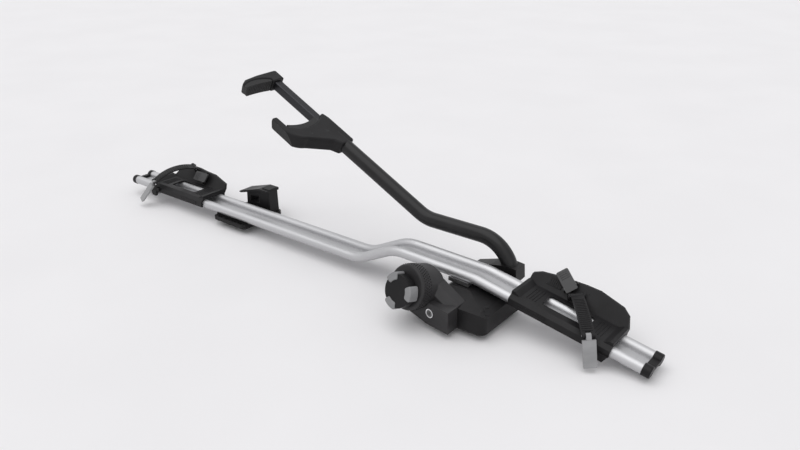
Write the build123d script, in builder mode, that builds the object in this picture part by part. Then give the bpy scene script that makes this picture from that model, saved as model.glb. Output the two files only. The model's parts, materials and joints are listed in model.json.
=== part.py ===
from build123d import *
from math import atan2, cos, degrees, hypot, radians, sin
import os

os.makedirs("parts", exist_ok=True)

# The frame has +X forward along the rail, +Y to the side of the knob and +Z up.
# The origin is on the top of the rear crossbar, under the middle of the base.

# Fits and free spaces
slide_gap = 0.6        # around a piece that slides along the rail
seat_gap = 0.1         # joint line between pieces of one body
pin_gap = 0.05         # radial clearance of pins, shafts and screws
turn_gap = 0.5         # beside a piece that turns
cut_over = 10.0        # how far a cutting tool runs past a surface

# Rail: two round lobes joined by a web, with a slot underneath
rail_front = 1085.0    # front end of the metal
rail_rear = -341.0     # rear end of the metal
low_z = 27.0           # lobe centres of the straight front part
bend_foot = 296.0      # corner where the rail starts to rise
bend_head = 199.0      # corner where the rise ends
bend_rise = 49.0       # height gained by the bend
crest_drop = 4.5       # fall from the bend to the crest over the crossbar
tail_fall = 61.4       # fall from the crest to the rear end
bend_radius = 95.0
crest_radius = 120.0
lobe_radius = 10.5
lobe_offset = 23.7     # from the middle of the rail to a lobe's centre
rail_wall = 1.6
web_drop = 1.8         # top of the web below the lobe centres
web_thickness = 2.4
slot_width = 13.0      # mouth of the slot underneath
lip_thickness = 1.8

# End caps
front_cap_length = 12.0
rear_cap_length = 16.0
cap_border = 1.2       # how far a cap stands out past the rail
cap_plug = 15.0
cap_web = 9.0
cap_round = 2.5

# Slot hardware
key_width = 23.0       # width of a nut or plate inside the slot
key_height = 3.2
key_bolt_radius = 3.0

# Base under the rail
base_front = 58.0
base_rear = -66.0
base_near = 97.0
base_far = -50.0
pad_thickness = 4.0
saddle_space = 6.0     # between the top of the base and the rail
base_rear_height = 38.0
base_front_height = 46.0
base_shoulder = 14.0   # length of the slopes at the two ends of the top
slope_start = 42.0     # where the top starts to fall to the near side
slope_fall = 14.0
base_round = 6.0
base_corner = 14.0
pad_inset = 2.0

# Bracket that clamps the rail to the base
bracket_length = 46.0
bracket_front = 54.0
bracket_plate = 4.0
bracket_ear = 3.2
bracket_ear_height = 4.0
bracket_bolt_front = 46.0
bracket_bolt_rear = 24.0
bracket_bolt_depth = 20.0

# Threaded inserts and the bolts for the crossbar's slot
bolt_radius = 4.0
insert_radius = 7.0
insert_length = 18.0
bar_bolt_near = 60.0
bar_bolt_far = -26.0
head_drop = 8.0        # from the crossbar's top to the bolt head
head_height = 4.0
head_length = 18.0
head_width = 14.0

# Pivot of the arm
pivot_x = 2.0
pivot_z = 37.0
shaft_radius = 7.0
bush_wall = 2.5
bush_length = 20.0
shaft_flange = 11.0
flange_thickness = 3.8
flange_round = 1.0
clip_thickness = 2.0
clip_wall = 2.2
far_bush_inset = 1.0
shaft_near = 64.0      # near end of the shaft, inside the base

# Arm
arm_y = -70.0
arm_slope = 27.2       # degrees above level in the pose shown
tube_radius = 16.0
tube_wall = 2.0
tube_foot_x = -25.0
tube_foot_z = 40.0
elbow_x = 186.5
elbow_z = 118.5
foot_radius = 75.0
elbow_radius = 80.0
tube_reach = 285.0     # straight tube from the elbow to its open end

# Hub of the arm
hub_near = -52.0
hub_far = -90.0
hub_length = 106.0
hub_height = 71.0
hub_rear = -46.0
hub_foot = 5.0
hub_round = 4.0
hub_shares = [(0.0, 0.58), (0.02, 0.97), (0.23, 1.0), (0.57, 0.90), (1.0, 0.69), (0.97, 0.46), (0.74, 0.13)]
hub_arc_shares = [(0.453, 0.0), (0.18, 0.24)]

# Lower claw at the end of the arm, in lengths along and across the arm
socket_depth = 37.0    # how far the tube goes into the claw
claw_start = tube_reach - socket_depth
claw_length = 134.0
claw_reach = 118.0
claw_half = 16.0
claw_corner = 5.0
claw_round = 4.0
claw_back_shares = [(0.0, 0.157), (0.0, -0.157), (0.61, -0.157), (0.765, -0.12)]
mouth_shares = [(0.74, -0.05), (0.567, 0.45), (0.705, 0.86)]
horn_shares = [(0.965, 0.868), (0.965, 0.996)]
claw_outer_shares = [(0.64, 0.996), (0.46, 0.91), (0.34, 0.70)]
claw_tail_shares = [(0.127, 0.25)]
claw_slant = 12.0      # how much shorter the claws are at their lower face
claw_slant_inset = 52.0
claw_slant_start = claw_start + claw_slant_inset
claw_pad_crown_share = 0.6716417910447761
claw_pad_rim_share = 0.746268656716418
claw_pad_crown = claw_start + claw_length * claw_pad_crown_share
claw_pad_rim = claw_start + claw_length * claw_pad_rim_share
claw_pad_start = 14.0
claw_pad_end = 98.0
claw_pad_half = 14.0
screw_radius = 3.0
screw_head = 4.5
screw_head_height = 2.0
screw_depth = 5.0
claw_screw_shares = [(0.37, 0.19), (0.42, 0.55)]

# Jaw: square bar and upper claw
bar_size = 21.0
bar_corner = 4.0
bar_bore = 6.5
bar_overlap = 89.0     # of the bar inside the tube in the pose shown
bar_start = tube_reach - bar_overlap
bar_fit = 0.2          # around the bar in its guide
guide_length = 28.0
guide_inset = 2.0
jaw_open = 102.0       # from the end of the lower claw to the jaw
jaw_start = claw_start + claw_length + jaw_open
jaw_depth = 32.0
jaw_reach = 98.0
jaw_half = 16.0
jaw_corner = 2.0
jaw_round = 3.0
jaw_far_shares = [(0.25, 0.16), (0.0, 0.155), (0.0, -0.17), (0.95, -0.17), (1.0, -0.10), (0.93, 0.45),
                  (0.76, 0.84), (0.50, 0.97), (0.25, 1.0)]
jaw_arch_share = 0.56
jaw_pad = 6.0
jaw_pad_arch = 2.0     # rise of the pad's face between its ends
jaw_pad_half = 14.0
jaw_bar_depth = 24.0
pin_radius = 3.0
pin_place = 14.0
cable_end_length = 14.0
cable_hole = 1.5

# Knob and its housing on the near side
knob_x = 89.0
knob_y = 145.0
knob_z = 68.5
knob_cant = 9.0        # degrees that the knob faces forward
knob_tilt = 15.7       # degrees that the knob faces upward
knob_turn = 9.0        # degrees from the rearward line to the first grip
knob_radius = 36.5
knob_waist = 32.0
knob_seat = 21.5
knob_half = 9.0
grip_half = 11.0
grip_angle = 52.0
grip_gap = 1.0         # degrees between a grip and its pocket
grip_corner = 4.0
grip_round = 2.0
knob_count = 3
drum_radius = 44.0
drum_lift = 6.0        # drum's axis above the knob's
drum_front = 13.0      # from the knob's middle back to the face of the housing
drum_length = 60.0
drum_round = 5.0
spindle_radius = 5.0
spindle_length = 60.0
reel_radius = 14.0
reel_core = 6.0
reel_flange = 2.5
reel_length = 16.0
reel_room = 3.0
wall_y = 126.5         # near wall of the housing, abreast of the crossbar
housing_rear = -8.0
housing_lift = 1.0
housing_length = 140.0
housing_height = 50.0
housing_depth = 60.0
housing_far = 70.0
housing_round = 5.0
housing_shares = [(0.0, 0.0), (0.40, 0.0), (0.90, 0.28), (1.0, 0.72), (0.92, 1.0), (0.0, 0.90)]
fairing_height = 90.0
fairing_near = 106.0
fairing_chamfer = 14.0
fairing_shares = [(0.0, 0.222), (0.0, 0.522), (0.464, 0.967), (0.636, 0.667), (0.636, 0.222)]

# Lock in the near wall of the housing
lock_forward = 39.0
lock_z = 27.0
lock_radius = 7.0
lock_sleeve = 2.2
lock_depth = 14.0
lock_proud = 1.2
key_slot_length = 7.0
key_slot_width = 1.4
key_slot_depth = 6.0

# Front foot
foot_x = 702.0
foot_half = 56.0
foot_near = 41.0
foot_far = -88.0
foot_top = 13.0
foot_corner = 10.0
foot_pad_inset = 5.0
bed_half = 28.0
window_length = 15.0
window_width = 5.0
window_pitch = 23.0
window_count = 4
window_y = 33.5
foot_bolt_pitch = 44.0
foot_head_radius = 5.5
foot_head_height = 4.0
plate_length = 64.0
foot_insert_length = 9.0

# Rest for the folded arm, on the foot
rest_rear = 653.0
rest_length = 104.0
rest_height = 60.0
rest_near = -54.0
rest_far = -83.0
rest_round = 3.0
wing_near = -47.0
wing_far = -88.0
rest_shares = [(0.0, 0.0), (0.02, 0.94), (0.28, 0.92), (0.79, 0.66), (0.80, 0.14), (0.84, 0.0)]
wing_shares = [(0.0, 1.0), (0.30, 1.0), (0.97, 0.66), (1.0, 0.60), (0.93, 0.59), (0.30, 0.91), (0.0, 0.91)]
rest_window_shares = [(0.38, 0.30), (0.38, 0.64), (0.66, 0.54), (0.68, 0.30)]
rest_pad_length = 28.0
rest_pad_thickness = 2.0

# Wheel trays, in lengths outward, across and up from the rail
front_tray_x = 906.0
rear_tray_x = -180.0
tray_outer = 105.0
tray_inner = -102.0
tray_wall = 3.4
tray_rim = -6.0        # lower edge of the walls
near_wall_top = 8.0
near_shoulder = 30.0
tray_floor = 3.4
panel_root = 34.0      # where the far panel leaves the floor
panel_reach = 63.0
panel_height = 50.0
edge_height = 47.5     # highest point of the panel's edge
front_edge_shares = [(-1.0, 0.42), (-0.95, 0.62), (-0.47, 0.86), (-0.09, 0.90), (0.15, 0.95), (0.43, 0.95),
                     (0.55, 0.80), (0.69, 0.72), (0.84, 0.62), (0.91, 0.36), (1.0, 0.32)]
rear_edge_shares = [(-1.0, 0.58), (-0.86, 0.72), (-0.54, 0.84), (0.0, 0.97), (0.28, 1.0), (0.76, 0.86),
                    (0.91, 0.68), (1.0, 0.32)]
sill_height = 6.5
sill_top = 7.0
sill_slope = 14.0
tray_window_half = 46.0
tray_window_near = 14.0
tray_window_far = -24.0
tray_window_corner = 6.0
leg_shares = [(0.76, 0.0), (0.80, -1.0), (0.93, -1.0), (1.0, 0.0)]
leg_depth = 19.0
leg_top = -3.0
leg_thickness = 2.0
hook_reach = 6.5       # how far the legs' lips reach under the rail
hook_low = -13.0
hook_thickness = 1.9
clamp_place = 92.0
clamp_half = 9.0
clamp_thickness = 3.0
clamp_screw_head = 6.0
clamp_screw_height = 4.0
catch_half = 9.0
catch_reach = 4.5
catch_low = -1.0
catch_high = 6.0

# Ladder strap over each tray, hinged on the far panel: places along the rail and up the panel
front_strap_along = 28.0
front_strap_up = 36.0
front_strap_end = (74.0, 46.0, 23.0)
front_strap_crown = 15.0
rear_strap_along = 4.0
rear_strap_up = 15.0
rear_strap_end = (63.0, 46.0, 23.0)
rear_strap_crown = 6.0
strap_lean = 20.0      # degrees of the pin's plane from upright
strap_lift = 9.0       # pin above the panel
strap_width = 24.0
strap_thickness = 2.6
strap_eye = 4.6
strap_pin_radius = 2.0
strap_rib_count = 18
strap_rib = 1.2
strap_rib_first_share = 0.16
strap_rib_last_share = 0.92
ear_thickness = 3.0
ear_half = 5.0

# Release tab at the near end of the strap
tab_length = 48.0
front_tab_angle = 52.0  # degrees between the tab and its hanging line
rear_tab_angle = 28.0
tab_thickness = 5.0
tab_width = 24.0
tab_eye = 4.6
tab_knuckle = 9.0

# Ratchet lever and strap tail on the far panel
front_lever = (-14.0, 17.0)
front_lever_angle = 0.0
rear_lever = (33.0, 31.5)
rear_lever_angle = 34.3
lever_length = 44.0
lever_width = 24.0
lever_thickness = 4.5
lever_lift = 8.5       # underside of the lever above the panel
lever_hinge = -12.0    # hinge from the middle of the lever
lever_pin_radius = 1.8
lever_knuckle = 3.0
lever_lug = 3.2
front_tail_start = -12.0
front_tail_low = 9.0
rear_tail_start = 6.0
rear_tail_low = 12.0
tail_length = 30.0
tail_thickness = 2.4
tail_width = 16.0
tail_tooth = 1.4
tail_tooth_pitch = 4.0
tail_tooth_count = 6


def pick(shares, start, size, across, reach):
    """Points of an outline whose shares follow a length and a reach."""
    return [(start + size * a, across + reach * b) for a, b in shares]


# Side planes: local x runs forward and local y up, at a given distance across
def side_plane(y):
    return Plane.XZ.offset(-y)


# Rail path, in lengths forward and up
bend_top_z = low_z + bend_rise
crest_z = bend_top_z - crest_drop
tail_z = crest_z - tail_fall
tail_pitch = atan2(tail_fall, -rail_rear)
crest_pitch = atan2(crest_drop, bend_head)
rail_half = lobe_offset + lobe_radius


def rail_height(x):
    """Height of the lobe centres behind the bend."""
    if x < 0:
        return crest_z + x * tail_fall / -rail_rear
    return crest_z + x * crest_drop / bend_head


front_end = Plane(origin=(rail_front, 0, low_z), x_dir=(0, 1, 0), z_dir=(1, 0, 0))
rear_end = Plane(
    origin=(rail_rear, 0, tail_z), x_dir=(0, -1, 0), z_dir=(-cos(tail_pitch), 0, -sin(tail_pitch))
)

with BuildPart() as rail:
    with BuildLine(Plane.XZ) as rail_path:
        FilletPolyline(
            (rail_front, low_z),
            (bend_foot, low_z),
            (bend_head, bend_top_z),
            (0, crest_z),
            (rail_rear, tail_z),
            radius=[bend_radius, bend_radius, crest_radius],
        )
    with BuildSketch(Plane(origin=(rail_front, 0, low_z), x_dir=(0, -1, 0), z_dir=(-1, 0, 0))):
        with Locations((-lobe_offset, 0), (lobe_offset, 0)):
            Circle(lobe_radius)
        with Locations((0, -web_drop - web_thickness / 2)):
            Rectangle(2 * lobe_offset, web_thickness)
        lip_reach = lobe_offset - slot_width / 2
        lip_y = lip_thickness / 2 - lobe_radius
        for way in (-1, 1):
            with Locations((way * (slot_width + lip_reach) / 2, lip_y)):
                Rectangle(lip_reach, lip_thickness)
        with Locations((-lobe_offset, 0), (lobe_offset, 0)):
            Circle(lobe_radius - rail_wall, mode=Mode.SUBTRACT)
    sweep(path=rail_path.line)
rail.part.label = "rail"
export_step(rail.part, "parts/rail.step")


def end_cap(plane, length):
    """A black cap over both lobes, open below between them, with a plug in each lobe."""
    with BuildPart() as cap:
        with BuildSketch(plane.offset(seat_gap)):
            with Locations((-lobe_offset, 0), (lobe_offset, 0)):
                Circle(lobe_radius + cap_border)
            with Locations((0, 0)):
                Rectangle(2 * lobe_offset, cap_web)
        extrude(amount=length)
        fillet(cap.faces().sort_by(Axis(plane.origin, plane.z_dir))[-1].edges(), cap_round)
        with BuildSketch(plane.offset(seat_gap)):
            with Locations((-lobe_offset, 0), (lobe_offset, 0)):
                Circle(lobe_radius - rail_wall - seat_gap)
        extrude(amount=-cap_plug)
    return cap


rail_front_cap = end_cap(front_end, front_cap_length)
rail_front_cap.part.label = "rail_front_cap"
export_step(rail_front_cap.part, "parts/rail_front_cap.step")

rail_rear_cap = end_cap(rear_end, rear_cap_length)
rail_rear_cap.part.label = "rail_rear_cap"
export_step(rail_rear_cap.part, "parts/rail_rear_cap.step")


# Base body: a block under the rail, hollowed for the pivot and the inserts
def under_rail(x):
    """Height of the base's top under the rail."""
    return rail_height(x) - lobe_radius - saddle_space


pivot_plane = Plane(origin=(pivot_x, 0, pivot_z), x_dir=(1, 0, 0), z_dir=(0, -1, 0))
bush_radius = shaft_radius + pin_gap + bush_wall
bar_bolt_places = [(0, bar_bolt_near), (0, bar_bolt_far)]
bracket_bolt_places = [(bracket_bolt_front, 0), (bracket_bolt_rear, 0)]
insert_hole = insert_radius + seat_gap
bracket_bolt_top = under_rail(bracket_bolt_rear)

with BuildPart() as base_body:
    with BuildSketch(side_plane(base_near)):
        with BuildLine():
            Polyline(
                (base_rear, pad_thickness),
                (base_rear, base_rear_height),
                (base_rear + base_shoulder, under_rail(base_rear + base_shoulder)),
                (0, under_rail(0)),
                (base_front - base_shoulder, under_rail(base_front - base_shoulder)),
                (base_front, base_front_height),
                (base_front, pad_thickness),
                close=True,
            )
        make_face()
    extrude(amount=base_near - base_far)
    fillet(base_body.edges().filter_by(Axis.Z).group_by(Axis.X)[0], base_corner)
    with BuildSketch(Plane.YZ.offset(base_rear - cut_over)):
        with BuildLine():
            Polyline(
                (slope_start, bend_top_z),
                (slope_start, crest_z - lobe_radius - saddle_space),
                (base_near + cut_over, crest_z - lobe_radius - saddle_space - slope_fall),
                (base_near + cut_over, bend_top_z),
                close=True,
            )
        make_face()
    extrude(amount=base_front - base_rear + 2 * cut_over, mode=Mode.SUBTRACT)
    fillet(base_body.faces().sort_by(Axis.X)[-1].edges().filter_by(Axis.Y), base_round)
    housing_cut_x = (housing_rear - seat_gap + base_front + cut_over) / 2
    housing_cut_y = (housing_far - seat_gap + base_near + cut_over) / 2
    with BuildSketch(Plane.XY.offset(-cut_over)):
        with Locations((housing_cut_x, housing_cut_y)):
            Rectangle(
                base_front + cut_over - housing_rear + seat_gap, base_near + cut_over - housing_far + seat_gap
            )
    extrude(amount=bend_top_z + 2 * cut_over, mode=Mode.SUBTRACT)
    with BuildSketch(pivot_plane.offset(-base_far)):
        Circle(bush_radius + seat_gap)
    extrude(amount=base_far - shaft_near - turn_gap, mode=Mode.SUBTRACT)
    with BuildSketch(Plane.XY.offset(pad_thickness)):
        with Locations(*bar_bolt_places):
            Circle(insert_hole)
    extrude(amount=insert_length, mode=Mode.SUBTRACT)
    with BuildSketch(Plane.XY.offset(bracket_bolt_top - bracket_bolt_depth)):
        with Locations(*bracket_bolt_places):
            Circle(insert_hole)
    extrude(amount=bracket_bolt_depth + cut_over, mode=Mode.SUBTRACT)
base_body.part.label = "base_body"
export_step(base_body.part, "parts/base_body.step")

with BuildPart() as base_pad:
    with BuildSketch():
        with Locations(((base_front + base_rear) / 2, (base_near + base_far) / 2)):
            RectangleRounded(
                base_front - base_rear - 2 * pad_inset, base_near - base_far - 2 * pad_inset, base_corner
            )
        with Locations((housing_cut_x, housing_cut_y)):
            Rectangle(
                base_front + cut_over - housing_rear + seat_gap,
                base_near + cut_over - housing_far + seat_gap,
                mode=Mode.SUBTRACT,
            )
        with Locations(*bar_bolt_places):
            Circle(bolt_radius + turn_gap, mode=Mode.SUBTRACT)
    extrude(amount=pad_thickness - seat_gap)
base_pad.part.label = "base_pad"
export_step(base_pad.part, "parts/base_pad.step")


def sleeve(plane, outer, inner, length):
    """A plain tube that stands on a plane."""
    with BuildPart() as tube:
        with BuildSketch(plane):
            Circle(outer)
            Circle(inner, mode=Mode.SUBTRACT)
        extrude(amount=length)
    return tube.part


with BuildPart() as base_inserts:
    for x, y in bar_bolt_places:
        add(sleeve(Plane((x, y, pad_thickness)), insert_radius, bolt_radius + pin_gap, insert_length - seat_gap))
    for x, y in bracket_bolt_places:
        low = bracket_bolt_top - bracket_bolt_depth + seat_gap
        length = under_rail(x) - low - seat_gap
        add(sleeve(Plane((x, y, low)), insert_radius, bolt_radius + pin_gap, length))
base_inserts.part.label = "base_inserts"
export_step(base_inserts.part, "parts/base_inserts.step")


def bar_bolt(x, y, top):
    """A bolt whose flat head runs in the crossbar's slot."""
    with BuildPart() as bolt:
        with BuildSketch(Plane.XY.offset(-head_drop - head_height)):
            with Locations((x, y)):
                Rectangle(head_width, head_length)
        extrude(amount=head_height)
        with BuildSketch(Plane.XY.offset(-head_drop)):
            with Locations((x, y)):
                Circle(bolt_radius)
        extrude(amount=head_drop + top)
    return bolt.part


with BuildPart() as base_bar_bolts:
    for x, y in bar_bolt_places:
        add(bar_bolt(x, y, pad_thickness + insert_length - 2 * seat_gap))
base_bar_bolts.part.label = "base_bar_bolts"
export_step(base_bar_bolts.part, "parts/base_bar_bolts.step")

# Bracket between the base and the rail, parallel to the rail's crest
bracket_plane = Plane(
    origin=(bracket_front, 0, rail_height(bracket_front)),
    x_dir=(0, -1, 0),
    z_dir=(-cos(crest_pitch), 0, -sin(crest_pitch)),
)
ear_outer = rail_half + seat_gap + bracket_ear
plate_top = -lobe_radius - seat_gap

with BuildPart() as rail_bracket:
    with BuildSketch(bracket_plane):
        with BuildLine():
            Polyline(
                (-ear_outer, plate_top - bracket_plate),
                (ear_outer, plate_top - bracket_plate),
                (ear_outer, plate_top + bracket_ear_height),
                (rail_half + seat_gap, plate_top + bracket_ear_height),
                (rail_half + seat_gap, plate_top),
                (-rail_half - seat_gap, plate_top),
                (-rail_half - seat_gap, plate_top + bracket_ear_height),
                (-ear_outer, plate_top + bracket_ear_height),
                close=True,
            )
        make_face()
    extrude(amount=bracket_length)
    with BuildSketch(Plane.XY):
        with Locations(*bracket_bolt_places):
            Circle(bolt_radius + turn_gap)
    extrude(amount=bend_top_z, mode=Mode.SUBTRACT)
rail_bracket.part.label = "rail_bracket"
export_step(rail_bracket.part, "parts/rail_bracket.step")

slot_floor = lip_thickness - lobe_radius
key_rest = slot_floor + seat_gap

with BuildPart() as bracket_bolts:
    for x, y in bracket_bolt_places:
        key_low = rail_height(x) + key_rest + seat_gap
        with BuildSketch(Plane.XY.offset(key_low)):
            with Locations((x, y)):
                Rectangle(head_width, key_width)
        extrude(amount=key_height)
        with BuildSketch(Plane.XY.offset(bracket_bolt_top - bracket_bolt_depth + 2 * seat_gap)):
            with Locations((x, y)):
                Circle(bolt_radius)
        extrude(amount=key_low - bracket_bolt_top + bracket_bolt_depth)
bracket_bolts.part.label = "bracket_bolts"
export_step(bracket_bolts.part, "parts/bracket_bolts.step")

# Bushes, shaft and clip of the pivot
far_bush_y = base_far + far_bush_inset
near_bush_y = shaft_near - clip_thickness - 2 * turn_gap - bush_length

with BuildPart() as pivot_bushes:
    for y in (far_bush_y, near_bush_y):
        add(sleeve(pivot_plane.offset(-y - bush_length), bush_radius, shaft_radius + pin_gap, bush_length))
pivot_bushes.part.label = "pivot_bushes"
export_step(pivot_bushes.part, "parts/pivot_bushes.step")

with BuildPart() as pivot_shaft:
    with BuildSketch(pivot_plane.offset(-shaft_near)):
        Circle(shaft_radius)
    extrude(amount=shaft_near - hub_far + flange_thickness)
    with BuildSketch(pivot_plane.offset(-hub_far + seat_gap)):
        Circle(shaft_flange)
    extrude(amount=flange_thickness)
    fillet(pivot_shaft.faces().sort_by(Axis.Y)[0].edges(), flange_round)
    with BuildSketch(pivot_plane.offset(-hub_far + flange_thickness)):
        RegularPolygon(bolt_radius, 6)
    extrude(amount=cut_over, mode=Mode.SUBTRACT)
pivot_shaft.part.label = "pivot_shaft"
export_step(pivot_shaft.part, "parts/pivot_shaft.step")

clip_y = near_bush_y + bush_length + turn_gap + clip_thickness
with BuildPart() as pivot_clip:
    add(sleeve(pivot_plane.offset(-clip_y), shaft_radius + clip_wall, shaft_radius + pin_gap, clip_thickness))
pivot_clip.part.label = "pivot_clip"
export_step(pivot_clip.part, "parts/pivot_clip.step")

# Housing of the knob: a low block behind a tilted drum
wall_plane = Plane(
    origin=(0, wall_y, 0),
    x_dir=(cos(radians(knob_cant)), -sin(radians(knob_cant)), 0),
    z_dir=(-sin(radians(knob_cant)), -cos(radians(knob_cant)), 0),
)
knob_axis = Vector(
    sin(radians(knob_cant)) * cos(radians(knob_tilt)),
    cos(radians(knob_cant)) * cos(radians(knob_tilt)),
    sin(radians(knob_tilt)),
)
knob_plane = Plane(
    origin=(knob_x, knob_y, knob_z),
    x_dir=(-cos(radians(knob_cant)), sin(radians(knob_cant)), 0),
    z_dir=knob_axis,
)
reel_back = drum_front + spindle_length

with BuildPart() as fairing:
    with BuildSketch(side_plane(fairing_near)):
        with BuildLine():
            Polyline(
                *pick(fairing_shares, housing_rear, housing_length, 0, fairing_height), close=True
            )
        make_face()
    extrude(amount=fairing_near - housing_far)
    near_edges = fairing.faces().sort_by(Axis.Y)[-1].edges()
    chamfer(near_edges.sort_by(Axis.Z)[-2:], fairing_chamfer)

with BuildPart() as knob_housing:
    with BuildSketch(wall_plane):
        with BuildLine():
            Polyline(
                *pick(housing_shares, housing_rear, housing_length, housing_lift, housing_height), close=True
            )
        make_face()
    extrude(amount=housing_depth)
    add(fairing.part)
    with BuildSketch(knob_plane.offset(-drum_front - drum_length)):
        with Locations((0, drum_lift)):
            Circle(drum_radius)
    extrude(amount=drum_length)
    fillet(knob_housing.faces().sort_by(Axis(knob_plane.origin, knob_axis))[-1].edges(), drum_round)
    with BuildSketch(side_plane(housing_far)):
        Rectangle(2 * (housing_length + housing_height), 2 * (housing_length + housing_height))
    extrude(amount=housing_depth, mode=Mode.SUBTRACT)
    with BuildSketch(Plane((housing_rear - cut_over / 2, wall_y, 0))):
        Rectangle(cut_over, 2 * housing_depth + 2 * cut_over)
    extrude(amount=fairing_height, mode=Mode.SUBTRACT)
    with BuildSketch(knob_plane):
        Circle(spindle_radius + pin_gap)
    extrude(amount=-2 * spindle_length, mode=Mode.SUBTRACT)
    with BuildSketch(knob_plane.offset(-reel_back)):
        Circle(reel_radius + reel_room)
    extrude(amount=-2 * reel_length, mode=Mode.SUBTRACT)
    with BuildSketch(knob_plane.offset(-reel_back)):
        Circle(reel_radius + reel_room)
    extrude(amount=reel_length + turn_gap, mode=Mode.SUBTRACT)
    with BuildSketch(wall_plane):
        with Locations((lock_forward, lock_z)):
            Circle(lock_radius + lock_sleeve + seat_gap)
    extrude(amount=lock_depth, mode=Mode.SUBTRACT)
knob_housing.part.label = "knob_housing"
export_step(knob_housing.part, "parts/knob_housing.step")

# Lock: a fixed sleeve and a barrel that turns in it
lock_plane = Plane(
    origin=wall_plane.from_local_coords((lock_forward, lock_z, -lock_proud)),
    x_dir=wall_plane.x_dir,
    z_dir=wall_plane.z_dir,
)
with BuildPart() as lock_sleeve_ring:
    with BuildSketch(lock_plane):
        Circle(lock_radius + lock_sleeve)
        Circle(lock_radius + pin_gap, mode=Mode.SUBTRACT)
    extrude(amount=lock_depth + lock_proud - seat_gap)
lock_sleeve_ring.part.label = "lock_sleeve"
export_step(lock_sleeve_ring.part, "parts/lock_sleeve.step")

with BuildPart() as lock_barrel:
    with BuildSketch(lock_plane):
        Circle(lock_radius)
    extrude(amount=lock_depth + lock_proud - seat_gap)
    with BuildSketch(lock_plane):
        Rectangle(key_slot_width, key_slot_length)
    extrude(amount=key_slot_depth, mode=Mode.SUBTRACT)
lock_barrel.part.label = "lock_barrel"
export_step(lock_barrel.part, "parts/lock_barrel.step")

# Knob: a hub with three pockets, each filled by a grip
grip_middles = [knob_turn + 360 / knob_count * turn for turn in range(knob_count)]


def ring_slice(outer, inner, angle, middle, corner):
    """Part of a ring, rounded at its corners, from its radii, angle and middle direction."""
    with BuildSketch() as ring:
        with BuildLine():
            ends = []
            for turn in (middle - angle / 2, middle + angle / 2):
                heading = (cos(radians(turn)), sin(radians(turn)))
                ends.append([(radius * heading[0], radius * heading[1]) for radius in (outer, inner)])
            CenterArc((0, 0), outer, middle - angle / 2, angle)
            CenterArc((0, 0), inner, middle - angle / 2, angle)
            Line(*ends[0])
            Line(*ends[1])
        make_face()
        fillet(ring.vertices(), corner)
    return ring.sketch


with BuildPart() as knob_hub:
    with BuildSketch(knob_plane.offset(-knob_half)):
        Circle(knob_waist)
        for middle in grip_middles:
            pocket = ring_slice(
                knob_radius + cut_over, knob_seat, grip_angle + 2 * grip_gap, middle, grip_corner + seat_gap
            )
            add(pocket, mode=Mode.SUBTRACT)
    extrude(amount=2 * knob_half)
knob_hub.part.label = "knob_hub"
export_step(knob_hub.part, "parts/knob_hub.step")

with BuildPart() as knob_grips:
    for middle in grip_middles:
        with BuildSketch(knob_plane.offset(-grip_half)):
            add(ring_slice(knob_radius, knob_seat + seat_gap, grip_angle, middle, grip_corner))
        extrude(amount=2 * grip_half)
    grip_faces = knob_grips.faces().group_by(Axis(knob_plane.origin, knob_axis))
    fillet(grip_faces[-1].edges() + grip_faces[0].edges(), grip_round)
knob_grips.part.label = "knob_grips"
export_step(knob_grips.part, "parts/knob_grips.step")

with BuildPart() as knob_spindle:
    with BuildSketch(knob_plane.offset(-reel_back)):
        Circle(spindle_radius)
    extrude(amount=reel_back - knob_half - seat_gap)
knob_spindle.part.label = "knob_spindle"
export_step(knob_spindle.part, "parts/knob_spindle.step")

with BuildPart() as cable_reel:
    with BuildSketch(knob_plane.offset(-reel_back)):
        Circle(reel_radius)
    extrude(amount=reel_flange)
    with BuildSketch(knob_plane.offset(-reel_back + reel_flange)):
        Circle(reel_core)
    extrude(amount=reel_length - 2 * reel_flange - turn_gap)
    with BuildSketch(knob_plane.offset(-reel_back + reel_length - turn_gap)):
        Circle(reel_radius)
    extrude(amount=-reel_flange)
    with BuildSketch(knob_plane.offset(-reel_back)):
        Circle(spindle_radius + pin_gap)
    extrude(amount=reel_length, mode=Mode.SUBTRACT)
cable_reel.part.label = "cable_reel"
export_step(cable_reel.part, "parts/cable_reel.step")

# Front foot: a plate under the rail with windows along its near edge
rail_under = low_z - lobe_radius
foot_bolt_places = [(foot_x - foot_bolt_pitch / 2, 0), (foot_x + foot_bolt_pitch / 2, 0)]

with BuildPart() as foot_body:
    with BuildSketch(Plane.XY.offset(pad_thickness)):
        with Locations((foot_x, (foot_near + foot_far) / 2)):
            RectangleRounded(2 * foot_half, foot_near - foot_far, foot_corner)
    extrude(amount=foot_top - pad_thickness)
    with BuildSketch(Plane.XY.offset(foot_top)):
        with Locations((foot_x, 0)):
            Rectangle(2 * foot_half, 2 * bed_half)
    extrude(amount=rail_under - seat_gap - foot_top)
    with BuildSketch(Plane.XY.offset(pad_thickness)):
        with Locations((foot_x, window_y)):
            with GridLocations(window_pitch, 0, window_count, 1):
                Rectangle(window_length, window_width)
    extrude(amount=foot_top, mode=Mode.SUBTRACT)
    with BuildSketch(Plane.XY.offset(pad_thickness)):
        with Locations((foot_x, 0)):
            Circle(insert_hole)
    extrude(amount=foot_insert_length, mode=Mode.SUBTRACT)
    with BuildSketch(Plane.XY.offset(pad_thickness)):
        with Locations(*foot_bolt_places):
            Circle(foot_head_radius + seat_gap)
    extrude(amount=foot_head_height, mode=Mode.SUBTRACT)
    with BuildSketch(Plane.XY.offset(pad_thickness)):
        with Locations(*foot_bolt_places):
            Circle(key_bolt_radius + pin_gap)
    extrude(amount=low_z, mode=Mode.SUBTRACT)
foot_body.part.label = "foot_body"
export_step(foot_body.part, "parts/foot_body.step")

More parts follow.
